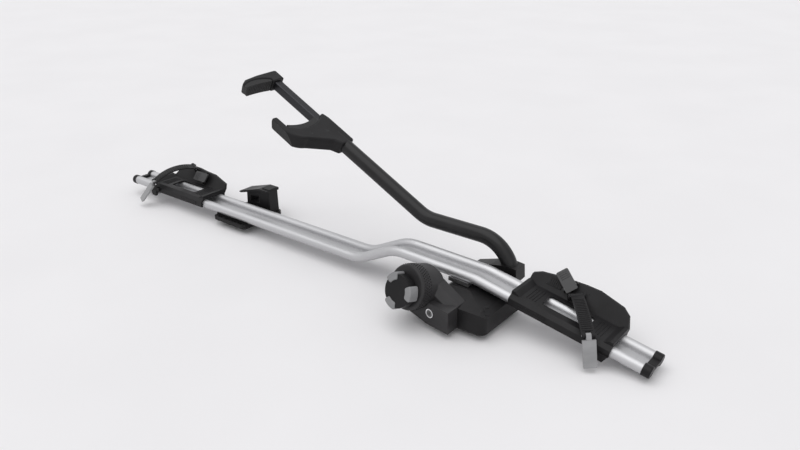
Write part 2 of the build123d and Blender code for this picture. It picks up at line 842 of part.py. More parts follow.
with BuildPart() as foot_pad:
    with BuildSketch():
        with Locations((foot_x, (foot_near + foot_far) / 2)):
            RectangleRounded(
                2 * foot_half - 2 * foot_pad_inset, foot_near - foot_far - 2 * foot_pad_inset, foot_pad_inset
            )
        with Locations((foot_x, window_y)):
            with GridLocations(window_pitch, 0, window_count, 1):
                Rectangle(window_length, window_width, mode=Mode.SUBTRACT)
        with Locations((foot_x, 0)):
            Circle(bolt_radius + turn_gap, mode=Mode.SUBTRACT)
    extrude(amount=pad_thickness - seat_gap)
foot_pad.part.label = "foot_pad"
export_step(foot_pad.part, "parts/foot_pad.step")

with BuildPart() as foot_insert:
    add(sleeve(Plane((foot_x, 0, pad_thickness)), insert_radius, bolt_radius + pin_gap, foot_insert_length - seat_gap))
foot_insert.part.label = "foot_insert"
export_step(foot_insert.part, "parts/foot_insert.step")

with BuildPart() as foot_bar_bolt:
    add(bar_bolt(foot_x, 0, pad_thickness + foot_insert_length - 2 * seat_gap))
foot_bar_bolt.part.label = "foot_bar_bolt"
export_step(foot_bar_bolt.part, "parts/foot_bar_bolt.step")

key_low_z = low_z + key_rest
with BuildPart() as foot_clamp_plate:
    with BuildSketch(Plane.XY.offset(key_low_z)):
        with Locations((foot_x, 0)):
            Rectangle(plate_length, key_width)
        with Locations(*foot_bolt_places):
            Circle(key_bolt_radius + pin_gap, mode=Mode.SUBTRACT)
    extrude(amount=key_height)
foot_clamp_plate.part.label = "foot_clamp_plate"
export_step(foot_clamp_plate.part, "parts/foot_clamp_plate.step")

with BuildPart() as foot_rail_bolts:
    for x, y in foot_bolt_places:
        with BuildSketch(Plane((x, y, pad_thickness))):
            Circle(foot_head_radius)
        extrude(amount=foot_head_height - seat_gap)
        with BuildSketch(Plane((x, y, pad_thickness))):
            Circle(key_bolt_radius)
        extrude(amount=key_low_z + key_height - pad_thickness)
foot_rail_bolts.part.label = "foot_rail_bolts"
export_step(foot_rail_bolts.part, "parts/foot_rail_bolts.step")

# Rest for the folded arm: a webbed post under a sloping wing
rest_foot = foot_top + seat_gap

with BuildPart() as arm_rest:
    with BuildSketch(side_plane(rest_near)):
        with BuildLine():
            Polyline(*pick(rest_shares, rest_rear, rest_length, rest_foot, rest_height), close=True)
        make_face()
        with BuildLine():
            Polyline(*pick(rest_window_shares, rest_rear, rest_length, rest_foot, rest_height), close=True)
        make_face(mode=Mode.SUBTRACT)
    extrude(amount=rest_near - rest_far)
    with BuildSketch(side_plane(wing_near)):
        with BuildLine():
            Polyline(*pick(wing_shares, rest_rear, rest_length, rest_foot, rest_height), close=True)
        make_face()
    extrude(amount=wing_near - wing_far)
    fillet(arm_rest.edges().filter_by(Axis.Z), rest_round)
arm_rest.part.label = "arm_rest"
export_step(arm_rest.part, "parts/arm_rest.step")

with BuildPart() as arm_rest_pad:
    with BuildSketch(Plane.XY.offset(rest_foot + rest_height + seat_gap)):
        with Locations((rest_rear + rest_pad_length / 2, (rest_near + rest_far) / 2)):
            RectangleRounded(rest_pad_length - pad_inset, rest_near - rest_far - pad_inset, pad_inset)
    extrude(amount=rest_pad_thickness)
arm_rest_pad.part.label = "arm_rest_pad"
export_step(arm_rest_pad.part, "parts/arm_rest_pad.step")

# Arm: the path of its tube and the frame of its straight part
slope = radians(arm_slope)
arm_frame = Plane(
    origin=(elbow_x, arm_y, elbow_z), x_dir=(cos(slope), 0, sin(slope)), z_dir=(-sin(slope), 0, cos(slope))
)


def arm_cross(along):
    """A plane across the arm, with local x to the near side."""
    return Plane(
        origin=arm_frame.from_local_coords((along, 0, 0)), x_dir=arm_frame.y_dir, z_dir=arm_frame.x_dir
    )


def arm_sweep(outer, inner):
    """A round bar or tube along the arm's path."""
    with BuildPart() as swept:
        with BuildLine(side_plane(arm_y)) as path:
            FilletPolyline(
                (tube_foot_x, tube_foot_z),
                (tube_foot_x, elbow_z),
                (elbow_x, elbow_z),
                (elbow_x + tube_reach * cos(slope), elbow_z + tube_reach * sin(slope)),
                radius=[foot_radius, elbow_radius],
            )
        with BuildSketch(Plane((tube_foot_x, arm_y, tube_foot_z))):
            Circle(outer)
            if inner:
                Circle(inner, mode=Mode.SUBTRACT)
        sweep(path=path.line)
    return swept


arm_tube = arm_sweep(tube_radius, tube_radius - tube_wall)
arm_tube.part.label = "arm_tube"
export_step(arm_tube.part, "parts/arm_tube.step")

tube_cutter = arm_sweep(tube_radius + seat_gap, 0)

with BuildPart() as arm_hub:
    with BuildSketch(side_plane(hub_near)):
        with BuildLine():
            points = pick(hub_shares, hub_rear, hub_length, hub_foot, hub_height)
            arc_points = pick(hub_arc_shares, hub_rear, hub_length, hub_foot, hub_height)
            Polyline(*points)
            ThreePointArc(points[-1], arc_points[0], arc_points[1])
            Line(arc_points[1], points[0])
        make_face()
    extrude(amount=hub_near - hub_far)
    fillet(arm_hub.faces().sort_by(Axis.Y)[0].edges(), hub_round)
    add(tube_cutter.part, mode=Mode.SUBTRACT)
    with BuildSketch(pivot_plane.offset(-hub_near)):
        Circle(shaft_radius + pin_gap)
    extrude(amount=hub_near - hub_far, mode=Mode.SUBTRACT)
arm_hub.part.label = "arm_hub"
export_step(arm_hub.part, "parts/arm_hub.step")

# Lower claw
claw_back = pick(claw_back_shares, claw_start, claw_length, 0, claw_reach)
mouth = pick(mouth_shares, claw_start, claw_length, 0, claw_reach)
horn = pick(horn_shares, claw_start, claw_length, 0, claw_reach)
claw_outer = pick(claw_outer_shares, claw_start, claw_length, 0, claw_reach)
claw_tail = pick(claw_tail_shares, claw_start, claw_length, 0, claw_reach)
claw_screw_places = pick(claw_screw_shares, claw_start, claw_length, 0, claw_reach)
channel = bar_size + 2 * bar_fit + 2 * turn_gap


def slant_cut(start, length, reach, half):
    """A wedge along the arm that shortens a claw towards its lower face."""
    with BuildPart() as wedge:
        with BuildSketch(arm_cross(start)):
            with BuildLine():
                Polyline(
                    (reach, half),
                    (reach + cut_over, half),
                    (reach + cut_over, -half - cut_over),
                    (reach - claw_slant * (half + cut_over / 2) / half, -half - cut_over),
                    close=True,
                )
            make_face()
        extrude(amount=length)
    return wedge.part


with BuildPart() as lower_claw:
    with BuildSketch(arm_frame.offset(-claw_half)) as claw_sketch:
        with BuildLine():
            Polyline(*claw_back, mouth[0])
            ThreePointArc(*mouth)
            Polyline(mouth[-1], *horn, claw_outer[0])
            ThreePointArc(*claw_outer)
            Polyline(claw_outer[-1], *claw_tail, claw_back[0])
        make_face()
        fillet(claw_sketch.vertices(), claw_corner)
    extrude(amount=2 * claw_half)
    claw_faces = lower_claw.faces().sort_by(Axis(arm_frame.origin, arm_frame.z_dir))
    fillet(claw_faces[-1].edges() + claw_faces[0].edges(), claw_round)
    add(slant_cut(claw_slant_start, claw_length, claw_reach, claw_half), mode=Mode.SUBTRACT)
    with BuildSketch(arm_cross(0)):
        Circle(tube_radius + seat_gap)
    extrude(amount=claw_start + socket_depth, mode=Mode.SUBTRACT)
    with BuildSketch(arm_cross(claw_start)):
        RectangleRounded(channel, channel, bar_corner)
    extrude(amount=claw_length + cut_over, mode=Mode.SUBTRACT)
    with BuildSketch(arm_frame.offset(claw_half)):
        with Locations(*claw_screw_places):
            Circle(screw_head + seat_gap)
    extrude(amount=-screw_head_height, mode=Mode.SUBTRACT)
    with BuildSketch(arm_frame.offset(claw_half)):
        with Locations(*claw_screw_places):
            Circle(screw_radius + pin_gap)
    extrude(amount=-screw_depth, mode=Mode.SUBTRACT)
lower_claw.part.label = "lower_claw"
export_step(lower_claw.part, "parts/lower_claw.step")

with BuildPart() as claw_screws:
    for place in claw_screw_places:
        with BuildSketch(arm_frame.offset(claw_half - seat_gap)):
            with Locations(place):
                Circle(screw_head)
        extrude(amount=-screw_head_height + 2 * seat_gap)
        with BuildSketch(arm_frame.offset(claw_half - seat_gap)):
            with Locations(place):
                Circle(screw_radius)
        extrude(amount=-screw_depth + 2 * seat_gap)
claw_screws.part.label = "claw_screws"
export_step(claw_screws.part, "parts/claw_screws.step")

mouth_rise = (mouth[0][0] + mouth[2][0]) / 2 - mouth[1][0]

with BuildPart() as lower_claw_pad:
    with BuildSketch(arm_frame.offset(-claw_pad_half)):
        with BuildLine():
            ThreePointArc(
                (claw_pad_rim, claw_pad_start),
                (claw_pad_crown, (claw_pad_start + claw_pad_end) / 2),
                (claw_pad_rim, claw_pad_end),
            )
            Polyline(
                (claw_pad_rim, claw_pad_end),
                (mouth[1][0] - mouth_rise, claw_pad_end),
                (mouth[1][0] - mouth_rise, claw_pad_start),
                (claw_pad_rim, claw_pad_start),
            )
        make_face()
        with BuildLine():
            ThreePointArc(*[(along + seat_gap, across) for along, across in mouth])
            Polyline(
                (mouth[0][0] + seat_gap, mouth[0][1]),
                (mouth[1][0] - mouth_rise - cut_over, mouth[0][1]),
                (mouth[1][0] - mouth_rise - cut_over, mouth[2][1]),
                (mouth[2][0] + seat_gap, mouth[2][1]),
            )
        make_face(mode=Mode.SUBTRACT)
    extrude(amount=2 * claw_pad_half)
lower_claw_pad.part.label = "lower_claw_pad"
export_step(lower_claw_pad.part, "parts/lower_claw_pad.step")

# Guide of the bar, inside the tube's open end
with BuildPart() as bar_guide:
    with BuildSketch(arm_cross(tube_reach - guide_inset - guide_length)):
        Circle(tube_radius - tube_wall - seat_gap)
        RectangleRounded(bar_size + 2 * bar_fit, bar_size + 2 * bar_fit, bar_corner, mode=Mode.SUBTRACT)
    extrude(amount=guide_length)
bar_guide.part.label = "bar_guide"
export_step(bar_guide.part, "parts/bar_guide.step")

# Jaw
bar_end = jaw_start + jaw_bar_depth

with BuildPart() as jaw_bar:
    with BuildSketch(arm_cross(bar_start)):
        RectangleRounded(bar_size, bar_size, bar_corner)
        Circle(bar_bore, mode=Mode.SUBTRACT)
    extrude(amount=bar_end - bar_start)
    with BuildSketch(arm_frame.offset(-bar_size)):
        with Locations((jaw_start + pin_place, 0)):
            Circle(pin_radius + pin_gap)
    extrude(amount=2 * bar_size, mode=Mode.SUBTRACT)
jaw_bar.part.label = "jaw_bar"
export_step(jaw_bar.part, "parts/jaw_bar.step")

jaw_outline = pick(jaw_far_shares, jaw_start, jaw_depth, 0, jaw_reach)
jaw_arch = (jaw_start + jaw_depth * jaw_arch_share, (jaw_outline[0][1] + jaw_reach) / 2)

with BuildPart() as upper_claw:
    with BuildSketch(arm_frame.offset(-jaw_half)) as jaw_sketch:
        with BuildLine():
            Polyline(*jaw_outline)
            ThreePointArc(jaw_outline[-1], jaw_arch, jaw_outline[0])
        make_face()
        fillet(jaw_sketch.vertices(), jaw_corner)
    extrude(amount=2 * jaw_half)
    jaw_faces = upper_claw.faces().sort_by(Axis(arm_frame.origin, arm_frame.z_dir))
    fillet(jaw_faces[-1].edges() + jaw_faces[0].edges(), jaw_round)
    add(slant_cut(jaw_start - cut_over, jaw_depth + 2 * cut_over, jaw_reach, jaw_half), mode=Mode.SUBTRACT)
    with BuildSketch(arm_cross(jaw_start - cut_over)):
        RectangleRounded(bar_size + 2 * seat_gap, bar_size + 2 * seat_gap, bar_corner)
    extrude(amount=jaw_bar_depth + cut_over + seat_gap, mode=Mode.SUBTRACT)
    with BuildSketch(arm_frame.offset(-jaw_half)):
        with Locations((jaw_start + pin_place, 0)):
            Circle(pin_radius + pin_gap)
    extrude(amount=2 * jaw_half, mode=Mode.SUBTRACT)
upper_claw.part.label = "upper_claw"
export_step(upper_claw.part, "parts/upper_claw.step")

jaw_rim = jaw_outline[0][0] - seat_gap
jaw_pad_near = jaw_outline[0][1] + jaw_corner
jaw_pad_far = jaw_outline[-1][1]
jaw_pad_middle = (jaw_pad_near + jaw_pad_far) / 2

with BuildPart() as upper_claw_pad:
    with BuildSketch(arm_frame.offset(-jaw_pad_half)):
        with BuildLine():
            ThreePointArc(
                (jaw_rim, jaw_pad_near), (jaw_arch[0] - 2 * seat_gap, jaw_pad_middle), (jaw_rim, jaw_pad_far)
            )
            Line((jaw_rim, jaw_pad_far), (jaw_rim - jaw_pad, jaw_pad_far))
            ThreePointArc(
                (jaw_rim - jaw_pad, jaw_pad_far),
                (jaw_rim - jaw_pad + jaw_pad_arch, jaw_pad_middle),
                (jaw_rim - jaw_pad, jaw_pad_near),
            )
            Line((jaw_rim - jaw_pad, jaw_pad_near), (jaw_rim, jaw_pad_near))
        make_face()
    extrude(amount=2 * jaw_pad_half)
    add(slant_cut(jaw_start - cut_over, jaw_depth + 2 * cut_over, jaw_reach, jaw_half), mode=Mode.SUBTRACT)
upper_claw_pad.part.label = "upper_claw_pad"
export_step(upper_claw_pad.part, "parts/upper_claw_pad.step")

with BuildPart() as jaw_pin:
    with BuildSketch(arm_frame.offset(-jaw_half + seat_gap)):
        with Locations((jaw_start + pin_place, 0)):
            Circle(pin_radius)
    extrude(amount=2 * jaw_half - 2 * seat_gap)
jaw_pin.part.label = "jaw_pin"
export_step(jaw_pin.part, "parts/jaw_pin.step")

with BuildPart() as cable_end:
    add(sleeve(arm_cross(bar_start + seat_gap), bar_bore - seat_gap, cable_hole, cable_end_length))
cable_end.part.label = "cable_end"
export_step(cable_end.part, "parts/cable_end.step")

# Wheel trays: the same pieces twice, with the lengths outward reversed at the rear
front_frame = Plane(origin=(front_tray_x, 0, low_z), x_dir=(1, 0, 0), z_dir=(0, 0, 1))
rear_frame = Plane(
    origin=(rear_tray_x, 0, rail_height(rear_tray_x)),
    x_dir=(cos(tail_pitch), 0, sin(tail_pitch)),
    z_dir=(-sin(tail_pitch), 0, cos(tail_pitch)),
)
skin_inner = rail_half + slide_gap
skin_outer = skin_inner + tray_wall
bore_radius = lobe_radius + slide_gap
floor_top = bore_radius + tray_floor
panel_angle = atan2(panel_height - floor_top, panel_reach - panel_root)
ear_place = strap_width / 2 + turn_gap
lug_place = lever_width / 2 + turn_gap


def tray_side(frame, across):
    """A plane along the rail at a distance across, with local y up."""
    return Plane(origin=frame.from_local_coords((0, across, 0)), x_dir=frame.x_dir, z_dir=-frame.y_dir)


def tray_cross(frame, along):
    """A plane across the rail at a distance along it, with local x to the near side."""
    return Plane(origin=frame.from_local_coords((along, 0, 0)), x_dir=frame.y_dir, z_dir=frame.x_dir)


def panel_point(frame, along, up, lift):
    """A point over the far panel's inner face, from its place along the rail and up the panel."""
    across = -panel_root - up * cos(panel_angle) + lift * sin(panel_angle)
    height = floor_top + up * sin(panel_angle) + lift * cos(panel_angle)
    return frame.from_local_coords((along, across, height))


def panel_normal(frame):
    """The direction from the far panel towards the near side and up."""
    return frame.y_dir * sin(panel_angle) + frame.z_dir * cos(panel_angle)


def strap_plane(frame, side, along, up, end):
    """The plane of a strap: local x from its pin to its tab, local y away from the tray."""
    start = panel_point(frame, along, up, strap_lift)
    chord = frame.from_local_coords((side * end[0], end[1], end[2])) - start
    lean = frame.y_dir * sin(radians(strap_lean)) + frame.z_dir * cos(radians(strap_lean))
    return Plane(origin=start, x_dir=chord, z_dir=chord.cross(lean))


def lever_plane(frame, lever, angle, place, lift):
    """A plane over the panel with local x along the ratchet lever, from its middle's place and its angle."""
    turn = radians(angle)
    heading = panel_point(frame, cos(turn), sin(turn), 0) - panel_point(frame, 0, 0, 0)
    middle = panel_point(frame, lever[0], lever[1], lift)
    return Plane(origin=middle + heading * place, x_dir=heading, z_dir=panel_normal(frame))


def lever_hinge_plane(frame, lever, angle):
    """The plane across the lever's hinge pin, with its normal along the pin."""
    base = lever_plane(frame, lever, angle, lever_hinge, lever_lift)
    return Plane(origin=base.origin, x_dir=base.x_dir, z_dir=base.y_dir)


def panel_lift(frame, point):
    """How far a point lies above the far panel's inner face."""
    return (point - panel_point(frame, 0, 0, 0)).dot(panel_normal(frame))


def tray_body(frame, side, edge_shares, strap, lever, angle):
    """A saddle over the rail with a flared far panel, two legs, and lugs for strap and lever."""
    with BuildPart() as tray:
        length = tray_outer - tray_inner
        start = tray_inner if side > 0 else -tray_outer
        with BuildSketch(tray_cross(frame, start)):
            with BuildLine():
                Polyline(
                    (skin_outer, tray_rim),
                    (skin_outer, near_wall_top),
                    (near_shoulder, floor_top),
                    (-panel_root, floor_top),
                    (-panel_reach, panel_height),
                    (-panel_reach - tray_wall, panel_height),
                    (-skin_outer, near_wall_top),
                    (-skin_outer, tray_rim),
                    close=True,
                )
            make_face()
        extrude(amount=length)
        with BuildSketch(tray_side(frame, 0)):
            with BuildLine():
                edge = [(side * (tray_outer if a > 0 else -tray_inner) * a, edge_height * b) for a, b in edge_shares]
                over = panel_height + panel_reach
                Polyline(
                    (edge[0][0] - side * cut_over, edge[0][1]),
                    *edge,
                    (edge[-1][0] + side * cut_over, edge[-1][1]),
                    (edge[-1][0] + side * cut_over, over),
                    (edge[0][0] - side * cut_over, over),
                    close=True,
                )
            make_face()
        extrude(amount=panel_reach + 2 * cut_over, mode=Mode.SUBTRACT)
        for end, way in ((tray_outer, -1), (tray_inner, 1)):
            with BuildSketch(tray_side(frame, near_shoulder)):
                with BuildLine():
                    Polyline(
                        (side * end, floor_top - tray_floor / 2),
                        (side * end, floor_top + sill_height),
                        (side * (end + way * sill_top), floor_top + sill_height),
                        (side * (end + way * (sill_top + sill_slope)), floor_top - tray_floor / 2),
                        close=True,
                    )
                make_face()
            extrude(amount=near_shoulder + panel_root)
        for across in (skin_outer + leg_thickness, -skin_inner):
            with BuildSketch(tray_side(frame, across)):
                with BuildLine():
                    leg = [(side * tray_outer * a, leg_top + (leg_depth + leg_top) * b) for a, b in leg_shares]
                    Polyline(*leg, close=True)
                make_face()
            extrude(amount=tray_wall + leg_thickness)
        hook_low_x = side * clamp_place - clamp_half / 2
        for way in (-1, 1):
            with BuildSketch(tray_cross(frame, hook_low_x)):
                with Locations((way * (skin_inner - (hook_reach - 1) / 2), hook_low + hook_thickness / 2)):
                    Rectangle(hook_reach + 1, hook_thickness)
            extrude(amount=clamp_half)
        with BuildSketch(tray_side(frame, skin_outer + catch_reach)):
            with Locations((side * strap["end"][0], (catch_low + catch_high) / 2)):
                Rectangle(2 * catch_half, catch_high - catch_low)
        extrude(amount=catch_reach + tray_wall / 2)
        with BuildSketch(frame.offset(tray_rim - cut_over)):
            with Locations((side * (tray_outer + tray_inner) / 2, 0)):
                Rectangle(length, 2 * lobe_offset)
        extrude(amount=bore_radius - tray_rim + cut_over, mode=Mode.SUBTRACT)
        with BuildSketch(tray_cross(frame, start)):
            with Locations((-lobe_offset, 0), (lobe_offset, 0)):
                Circle(bore_radius)
        extrude(amount=length, mode=Mode.SUBTRACT)
        with BuildSketch(frame.offset(bore_radius - cut_over)):
            with Locations((0, (tray_window_near + tray_window_far) / 2)):
                RectangleRounded(
                    2 * tray_window_half, tray_window_near - tray_window_far, tray_window_corner
                )
        extrude(amount=tray_floor + 2 * cut_over, mode=Mode.SUBTRACT)
        ear_plane = strap_plane(frame, side, **strap)
        for way in (-1, 1):
            middle = ear_plane.origin + ear_plane.z_dir * way * (ear_place + ear_thickness / 2)
            upright = ear_plane.z_dir.cross(panel_normal(frame)).cross(ear_plane.z_dir)
            reach = (panel_lift(frame, middle) + tray_wall / 2) / upright.normalized().dot(panel_normal(frame))
            with BuildSketch(Plane(origin=middle, x_dir=upright, z_dir=ear_plane.z_dir)):
                Circle(ear_half)
                with Locations((-reach / 2, 0)):
                    Rectangle(reach, 2 * ear_half)
            extrude(amount=ear_thickness / 2, both=True)
        with BuildSketch(ear_plane):
            Circle(strap_pin_radius + pin_gap)
        extrude(amount=strap_width, both=True, mode=Mode.SUBTRACT)
        for way in (-1, 1):
            with BuildSketch(lever_plane(frame, lever, angle, lever_hinge, -tray_wall / 2)):
                with Locations((0, way * (lug_place + lever_lug / 2))):
                    Rectangle(2 * lever_knuckle, lever_lug)
            extrude(amount=tray_wall / 2 + lever_lift + lever_knuckle)
        hinge = lever_hinge_plane(frame, lever, angle)
        with BuildSketch(hinge):
            Circle(lever_pin_radius + pin_gap)
        extrude(amount=lever_width, both=True, mode=Mode.SUBTRACT)
    return tray


def clamp_frame(frame, side):
    """The tray's frame moved outward to its clamp."""
    return Plane(
        origin=frame.from_local_coords((side * clamp_place, 0, 0)), x_dir=frame.x_dir, z_dir=frame.z_dir
    )


def tray_clamp(frame, side):
    """A plate that presses the legs' lips against the rail."""
    with BuildPart() as clamp:
        with BuildSketch(clamp_frame(frame, side).offset(hook_low - seat_gap - clamp_thickness)):
            Rectangle(2 * clamp_half, 2 * (skin_inner - seat_gap))
            Circle(key_bolt_radius + pin_gap, mode=Mode.SUBTRACT)
        extrude(amount=clamp_thickness)
    return clamp


def tray_clamp_screw(frame, side):
    """The screw that pulls the clamp plate up to the slot nut."""
    low = hook_low - 2 * seat_gap - clamp_thickness
    place = clamp_frame(frame, side)
    with BuildPart() as screw:
        with BuildSketch(place.offset(low - clamp_screw_height)):
            Circle(clamp_screw_head)
        extrude(amount=clamp_screw_height)
        with BuildSketch(place.offset(low)):
            Circle(key_bolt_radius)
        extrude(amount=key_rest + key_height - low)
    return screw


def tray_slot_nut(frame, side):
    """The nut that runs in the rail's slot, just above its lips."""
    with BuildPart() as nut:
        with BuildSketch(clamp_frame(frame, side).offset(key_rest + seat_gap)):
            Rectangle(2 * clamp_half, key_width)
            Circle(key_bolt_radius + pin_gap, mode=Mode.SUBTRACT)
        extrude(amount=key_height)
    return nut


def strap_pin(plane):
    """The pin that the strap swings on."""
    with BuildPart() as pin:
        with BuildSketch(plane):
            Circle(strap_pin_radius)
        extrude(amount=ear_place + ear_thickness, both=True)
    return pin


def ladder_strap(plane, run, crown):
    """A ribbed strap that arches over the tray from its pin to the pin of its tab."""
    middle = run / 2
    with BuildPart() as strap:
        with BuildSketch(plane):
            with BuildLine():
                low = ThreePointArc((0, 0), (middle, crown), (run, 0))
                high = ThreePointArc((0, strap_thickness), (middle, crown + strap_thickness), (run, strap_thickness))
                Line(low @ 0, high @ 0)
                Line(low @ 1, high @ 1)
            make_face()
            Circle(strap_eye)
            with Locations((run, 0)):
                Circle(tab_eye)
        extrude(amount=strap_width / 2, both=True)
        for rib in range(strap_rib_count):
            span_share = strap_rib_last_share - strap_rib_first_share
            place = high @ (strap_rib_first_share + span_share * rib / (strap_rib_count - 1))
            with BuildSketch(plane):
                with Locations((place.X, place.Y)):
                    Circle(strap_rib)
            extrude(amount=strap_width / 2 - ear_thickness, both=True)
        with BuildSketch(plane):
            Circle(strap_pin_radius + pin_gap)
            with Locations((run, 0)):
                Circle(strap_pin_radius + pin_gap)
        extrude(amount=strap_width, both=True, mode=Mode.SUBTRACT)
        with BuildSketch(plane):
            with Locations((run, 0)):
                Circle(tab_eye + turn_gap + tab_eye / 2)
        extrude(amount=tab_knuckle / 2 + turn_gap, both=True, mode=Mode.SUBTRACT)
    return strap


def tab_pin(plane, run):
    """The pin between the strap and its tab."""
    with BuildPart() as pin:
        with BuildSketch(plane):
            with Locations((run, 0)):
                Circle(strap_pin_radius)
        extrude(amount=strap_width / 2, both=True)
    return pin


def release_tab(plane, run, angle):
    """A flat tab that hangs from the strap's end on one knuckle."""
    hang = (run + tab_eye + turn_gap, -tab_eye - turn_gap)
    tip = (hang[0] + tab_length * sin(radians(angle)), hang[1] - tab_length * cos(radians(angle)))
    with BuildPart() as tab:
        with BuildSketch(plane):
            with BuildLine():
                Polyline(
                    hang,
                    (hang[0] + tab_thickness, hang[1] + tab_thickness / 2),
                    (tip[0] + tab_thickness, tip[1]),
                    tip,
                    close=True,
                )
            make_face()
        extrude(amount=tab_width / 2, both=True)
        with BuildSketch(plane):
            with BuildLine():
                Polyline(
                    (run, tab_eye),
                    (run + tab_eye, tab_eye),
                    (hang[0] + tab_thickness, hang[1]),
                    (hang[0] + tab_thickness, hang[1] - tab_eye),
                    (hang[0], hang[1] - tab_eye),
                    (run, -tab_eye),
                    close=True,
                )
            make_face()
            with Locations((run, 0)):
                Circle(tab_eye)
        extrude(amount=tab_knuckle / 2, both=True)
        with BuildSketch(plane):
            with Locations((run, 0)):
                Circle(strap_pin_radius + pin_gap)
        extrude(amount=tab_width, both=True, mode=Mode.SUBTRACT)
    return tab


def ratchet_lever(frame, lever, angle):
    """The lever over the strap's tail, on a hinge near its lower end."""
    plane = lever_plane(frame, lever, angle, 0, lever_lift)
    hinge = lever_hinge_plane(frame, lever, angle)
    with BuildPart() as plate:
        with BuildSketch(plane):
            RectangleRounded(lever_length, lever_width, lever_knuckle)
        extrude(amount=lever_thickness)
        with BuildSketch(hinge):
            Circle(lever_knuckle)
        extrude(amount=lever_width / 2, both=True)
        with BuildSketch(hinge):
            Circle(lever_pin_radius + pin_gap)
        extrude(amount=lever_width, both=True, mode=Mode.SUBTRACT)
    return plate


def lever_pin(frame, lever, angle):
    """The pin of the ratchet lever."""
    with BuildPart() as pin:
        with BuildSketch(lever_hinge_plane(frame, lever, angle)):
            Circle(lever_pin_radius)
        extrude(amount=lug_place + lever_lug, both=True)
    return pin


def strap_tail(frame, start, low):
    """The toothed end of the strap that lies on the panel."""
    face = Plane(
        origin=panel_point(frame, start, low + tail_width / 2, seat_gap),
        x_dir=frame.x_dir,
        z_dir=panel_normal(frame),
    )
    with BuildPart() as tail:
        with BuildSketch(face):
            with Locations((tail_length / 2, 0)):
                Rectangle(tail_length, tail_width)
        extrude(amount=tail_thickness)
        with BuildSketch(face.offset(tail_thickness)):
            for tooth in range(tail_tooth_count):
                with Locations((tail_tooth_pitch * (tooth + 1), 0)):
                    Rectangle(tail_tooth, tail_width - lever_lug)
        extrude(amount=tail_tooth)
    return tail


front_strap = {"along": front_strap_along, "up": front_strap_up, "end": front_strap_end}
rear_strap = {"along": rear_strap_along, "up": rear_strap_up, "end": rear_strap_end}

front_tail = (front_lever[0] + front_tail_start, front_tail_low)
rear_tail = (rear_lever[0] + rear_tail_start, rear_tail_low)
front_set = (front_edge_shares, front_strap, front_strap_crown, front_tab_angle, front_lever, front_lever_angle)
rear_set = (rear_edge_shares, rear_strap, rear_strap_crown, rear_tab_angle, rear_lever, rear_lever_angle)

for name, side, frame, (edge, strap, crown, tab_angle, lever, angle), tail in (
    ("front", 1, front_frame, front_set, front_tail),
    ("rear", -1, rear_frame, rear_set, rear_tail),
):
    plane = strap_plane(frame, side, **strap)
    end = frame.from_local_coords((side * strap["end"][0], strap["end"][1], strap["end"][2]))
    run = (end - plane.origin).length
    pieces = {
        f"{name}_tray": tray_body(frame, side, edge, strap, lever, angle),
        f"{name}_tray_clamp": tray_clamp(frame, side),
        f"{name}_clamp_screw": tray_clamp_screw(frame, side),
        f"{name}_slot_nut": tray_slot_nut(frame, side),
        f"{name}_strap_pin": strap_pin(plane),
        f"{name}_ladder_strap": ladder_strap(plane, run, crown),
        f"{name}_tab_pin": tab_pin(plane, run),
        f"{name}_release_tab": release_tab(plane, run, tab_angle),
        f"{name}_ratchet_lever": ratchet_lever(frame, lever, angle),
        f"{name}_lever_pin": lever_pin(frame, lever, angle),
        f"{name}_strap_tail": strap_tail(frame, *tail),
    }
    for label, piece in pieces.items():
        piece.part.label = label
        export_step(piece.part, f"parts/{label}.step")
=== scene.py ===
# %% [markdown]
# # Roof bike carrier
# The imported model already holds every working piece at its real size: the bent rail, the base and the
# front foot on the two crossbars, the folding arm with its sliding jaw, and two wheel trays with straps.
# This notebook gives each of them its finish, adds the moulded detail that is too fine for the working
# model, and sets up the camera and the light of a plain product picture.

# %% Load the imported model
import json
from math import cos, pi, radians, sin

import bpy
from mathutils import Matrix, Vector


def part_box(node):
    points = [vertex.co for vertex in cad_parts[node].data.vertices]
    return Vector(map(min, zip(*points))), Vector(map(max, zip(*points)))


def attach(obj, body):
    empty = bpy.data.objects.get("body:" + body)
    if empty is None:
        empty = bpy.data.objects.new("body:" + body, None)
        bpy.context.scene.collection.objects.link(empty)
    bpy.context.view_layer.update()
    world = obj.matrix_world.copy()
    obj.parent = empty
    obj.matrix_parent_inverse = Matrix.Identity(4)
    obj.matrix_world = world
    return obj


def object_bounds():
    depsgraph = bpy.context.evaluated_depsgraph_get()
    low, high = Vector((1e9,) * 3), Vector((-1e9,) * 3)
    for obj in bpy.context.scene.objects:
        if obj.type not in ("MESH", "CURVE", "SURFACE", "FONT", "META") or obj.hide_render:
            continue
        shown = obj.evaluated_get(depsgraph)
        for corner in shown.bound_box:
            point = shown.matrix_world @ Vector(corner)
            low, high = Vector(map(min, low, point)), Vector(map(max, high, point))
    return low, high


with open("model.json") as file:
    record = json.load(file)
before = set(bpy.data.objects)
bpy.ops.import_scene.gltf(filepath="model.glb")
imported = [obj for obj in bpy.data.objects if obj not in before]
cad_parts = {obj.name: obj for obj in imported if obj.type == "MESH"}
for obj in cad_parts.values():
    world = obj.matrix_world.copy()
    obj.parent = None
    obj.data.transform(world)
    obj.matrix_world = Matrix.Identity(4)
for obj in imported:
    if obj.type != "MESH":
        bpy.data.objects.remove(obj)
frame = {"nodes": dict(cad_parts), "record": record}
nodes = frame["nodes"]
cad_low, cad_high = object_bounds()

# %% [markdown]
# ## Camera
# The picture was taken from the side of the knob, behind the carrier and a little above it, so the front
# end runs away to the left. The lens and the place come from the perspective of the two rail lobes.
# A camera could also be turned by hand with three angles, but a view direction is easier to read and check.

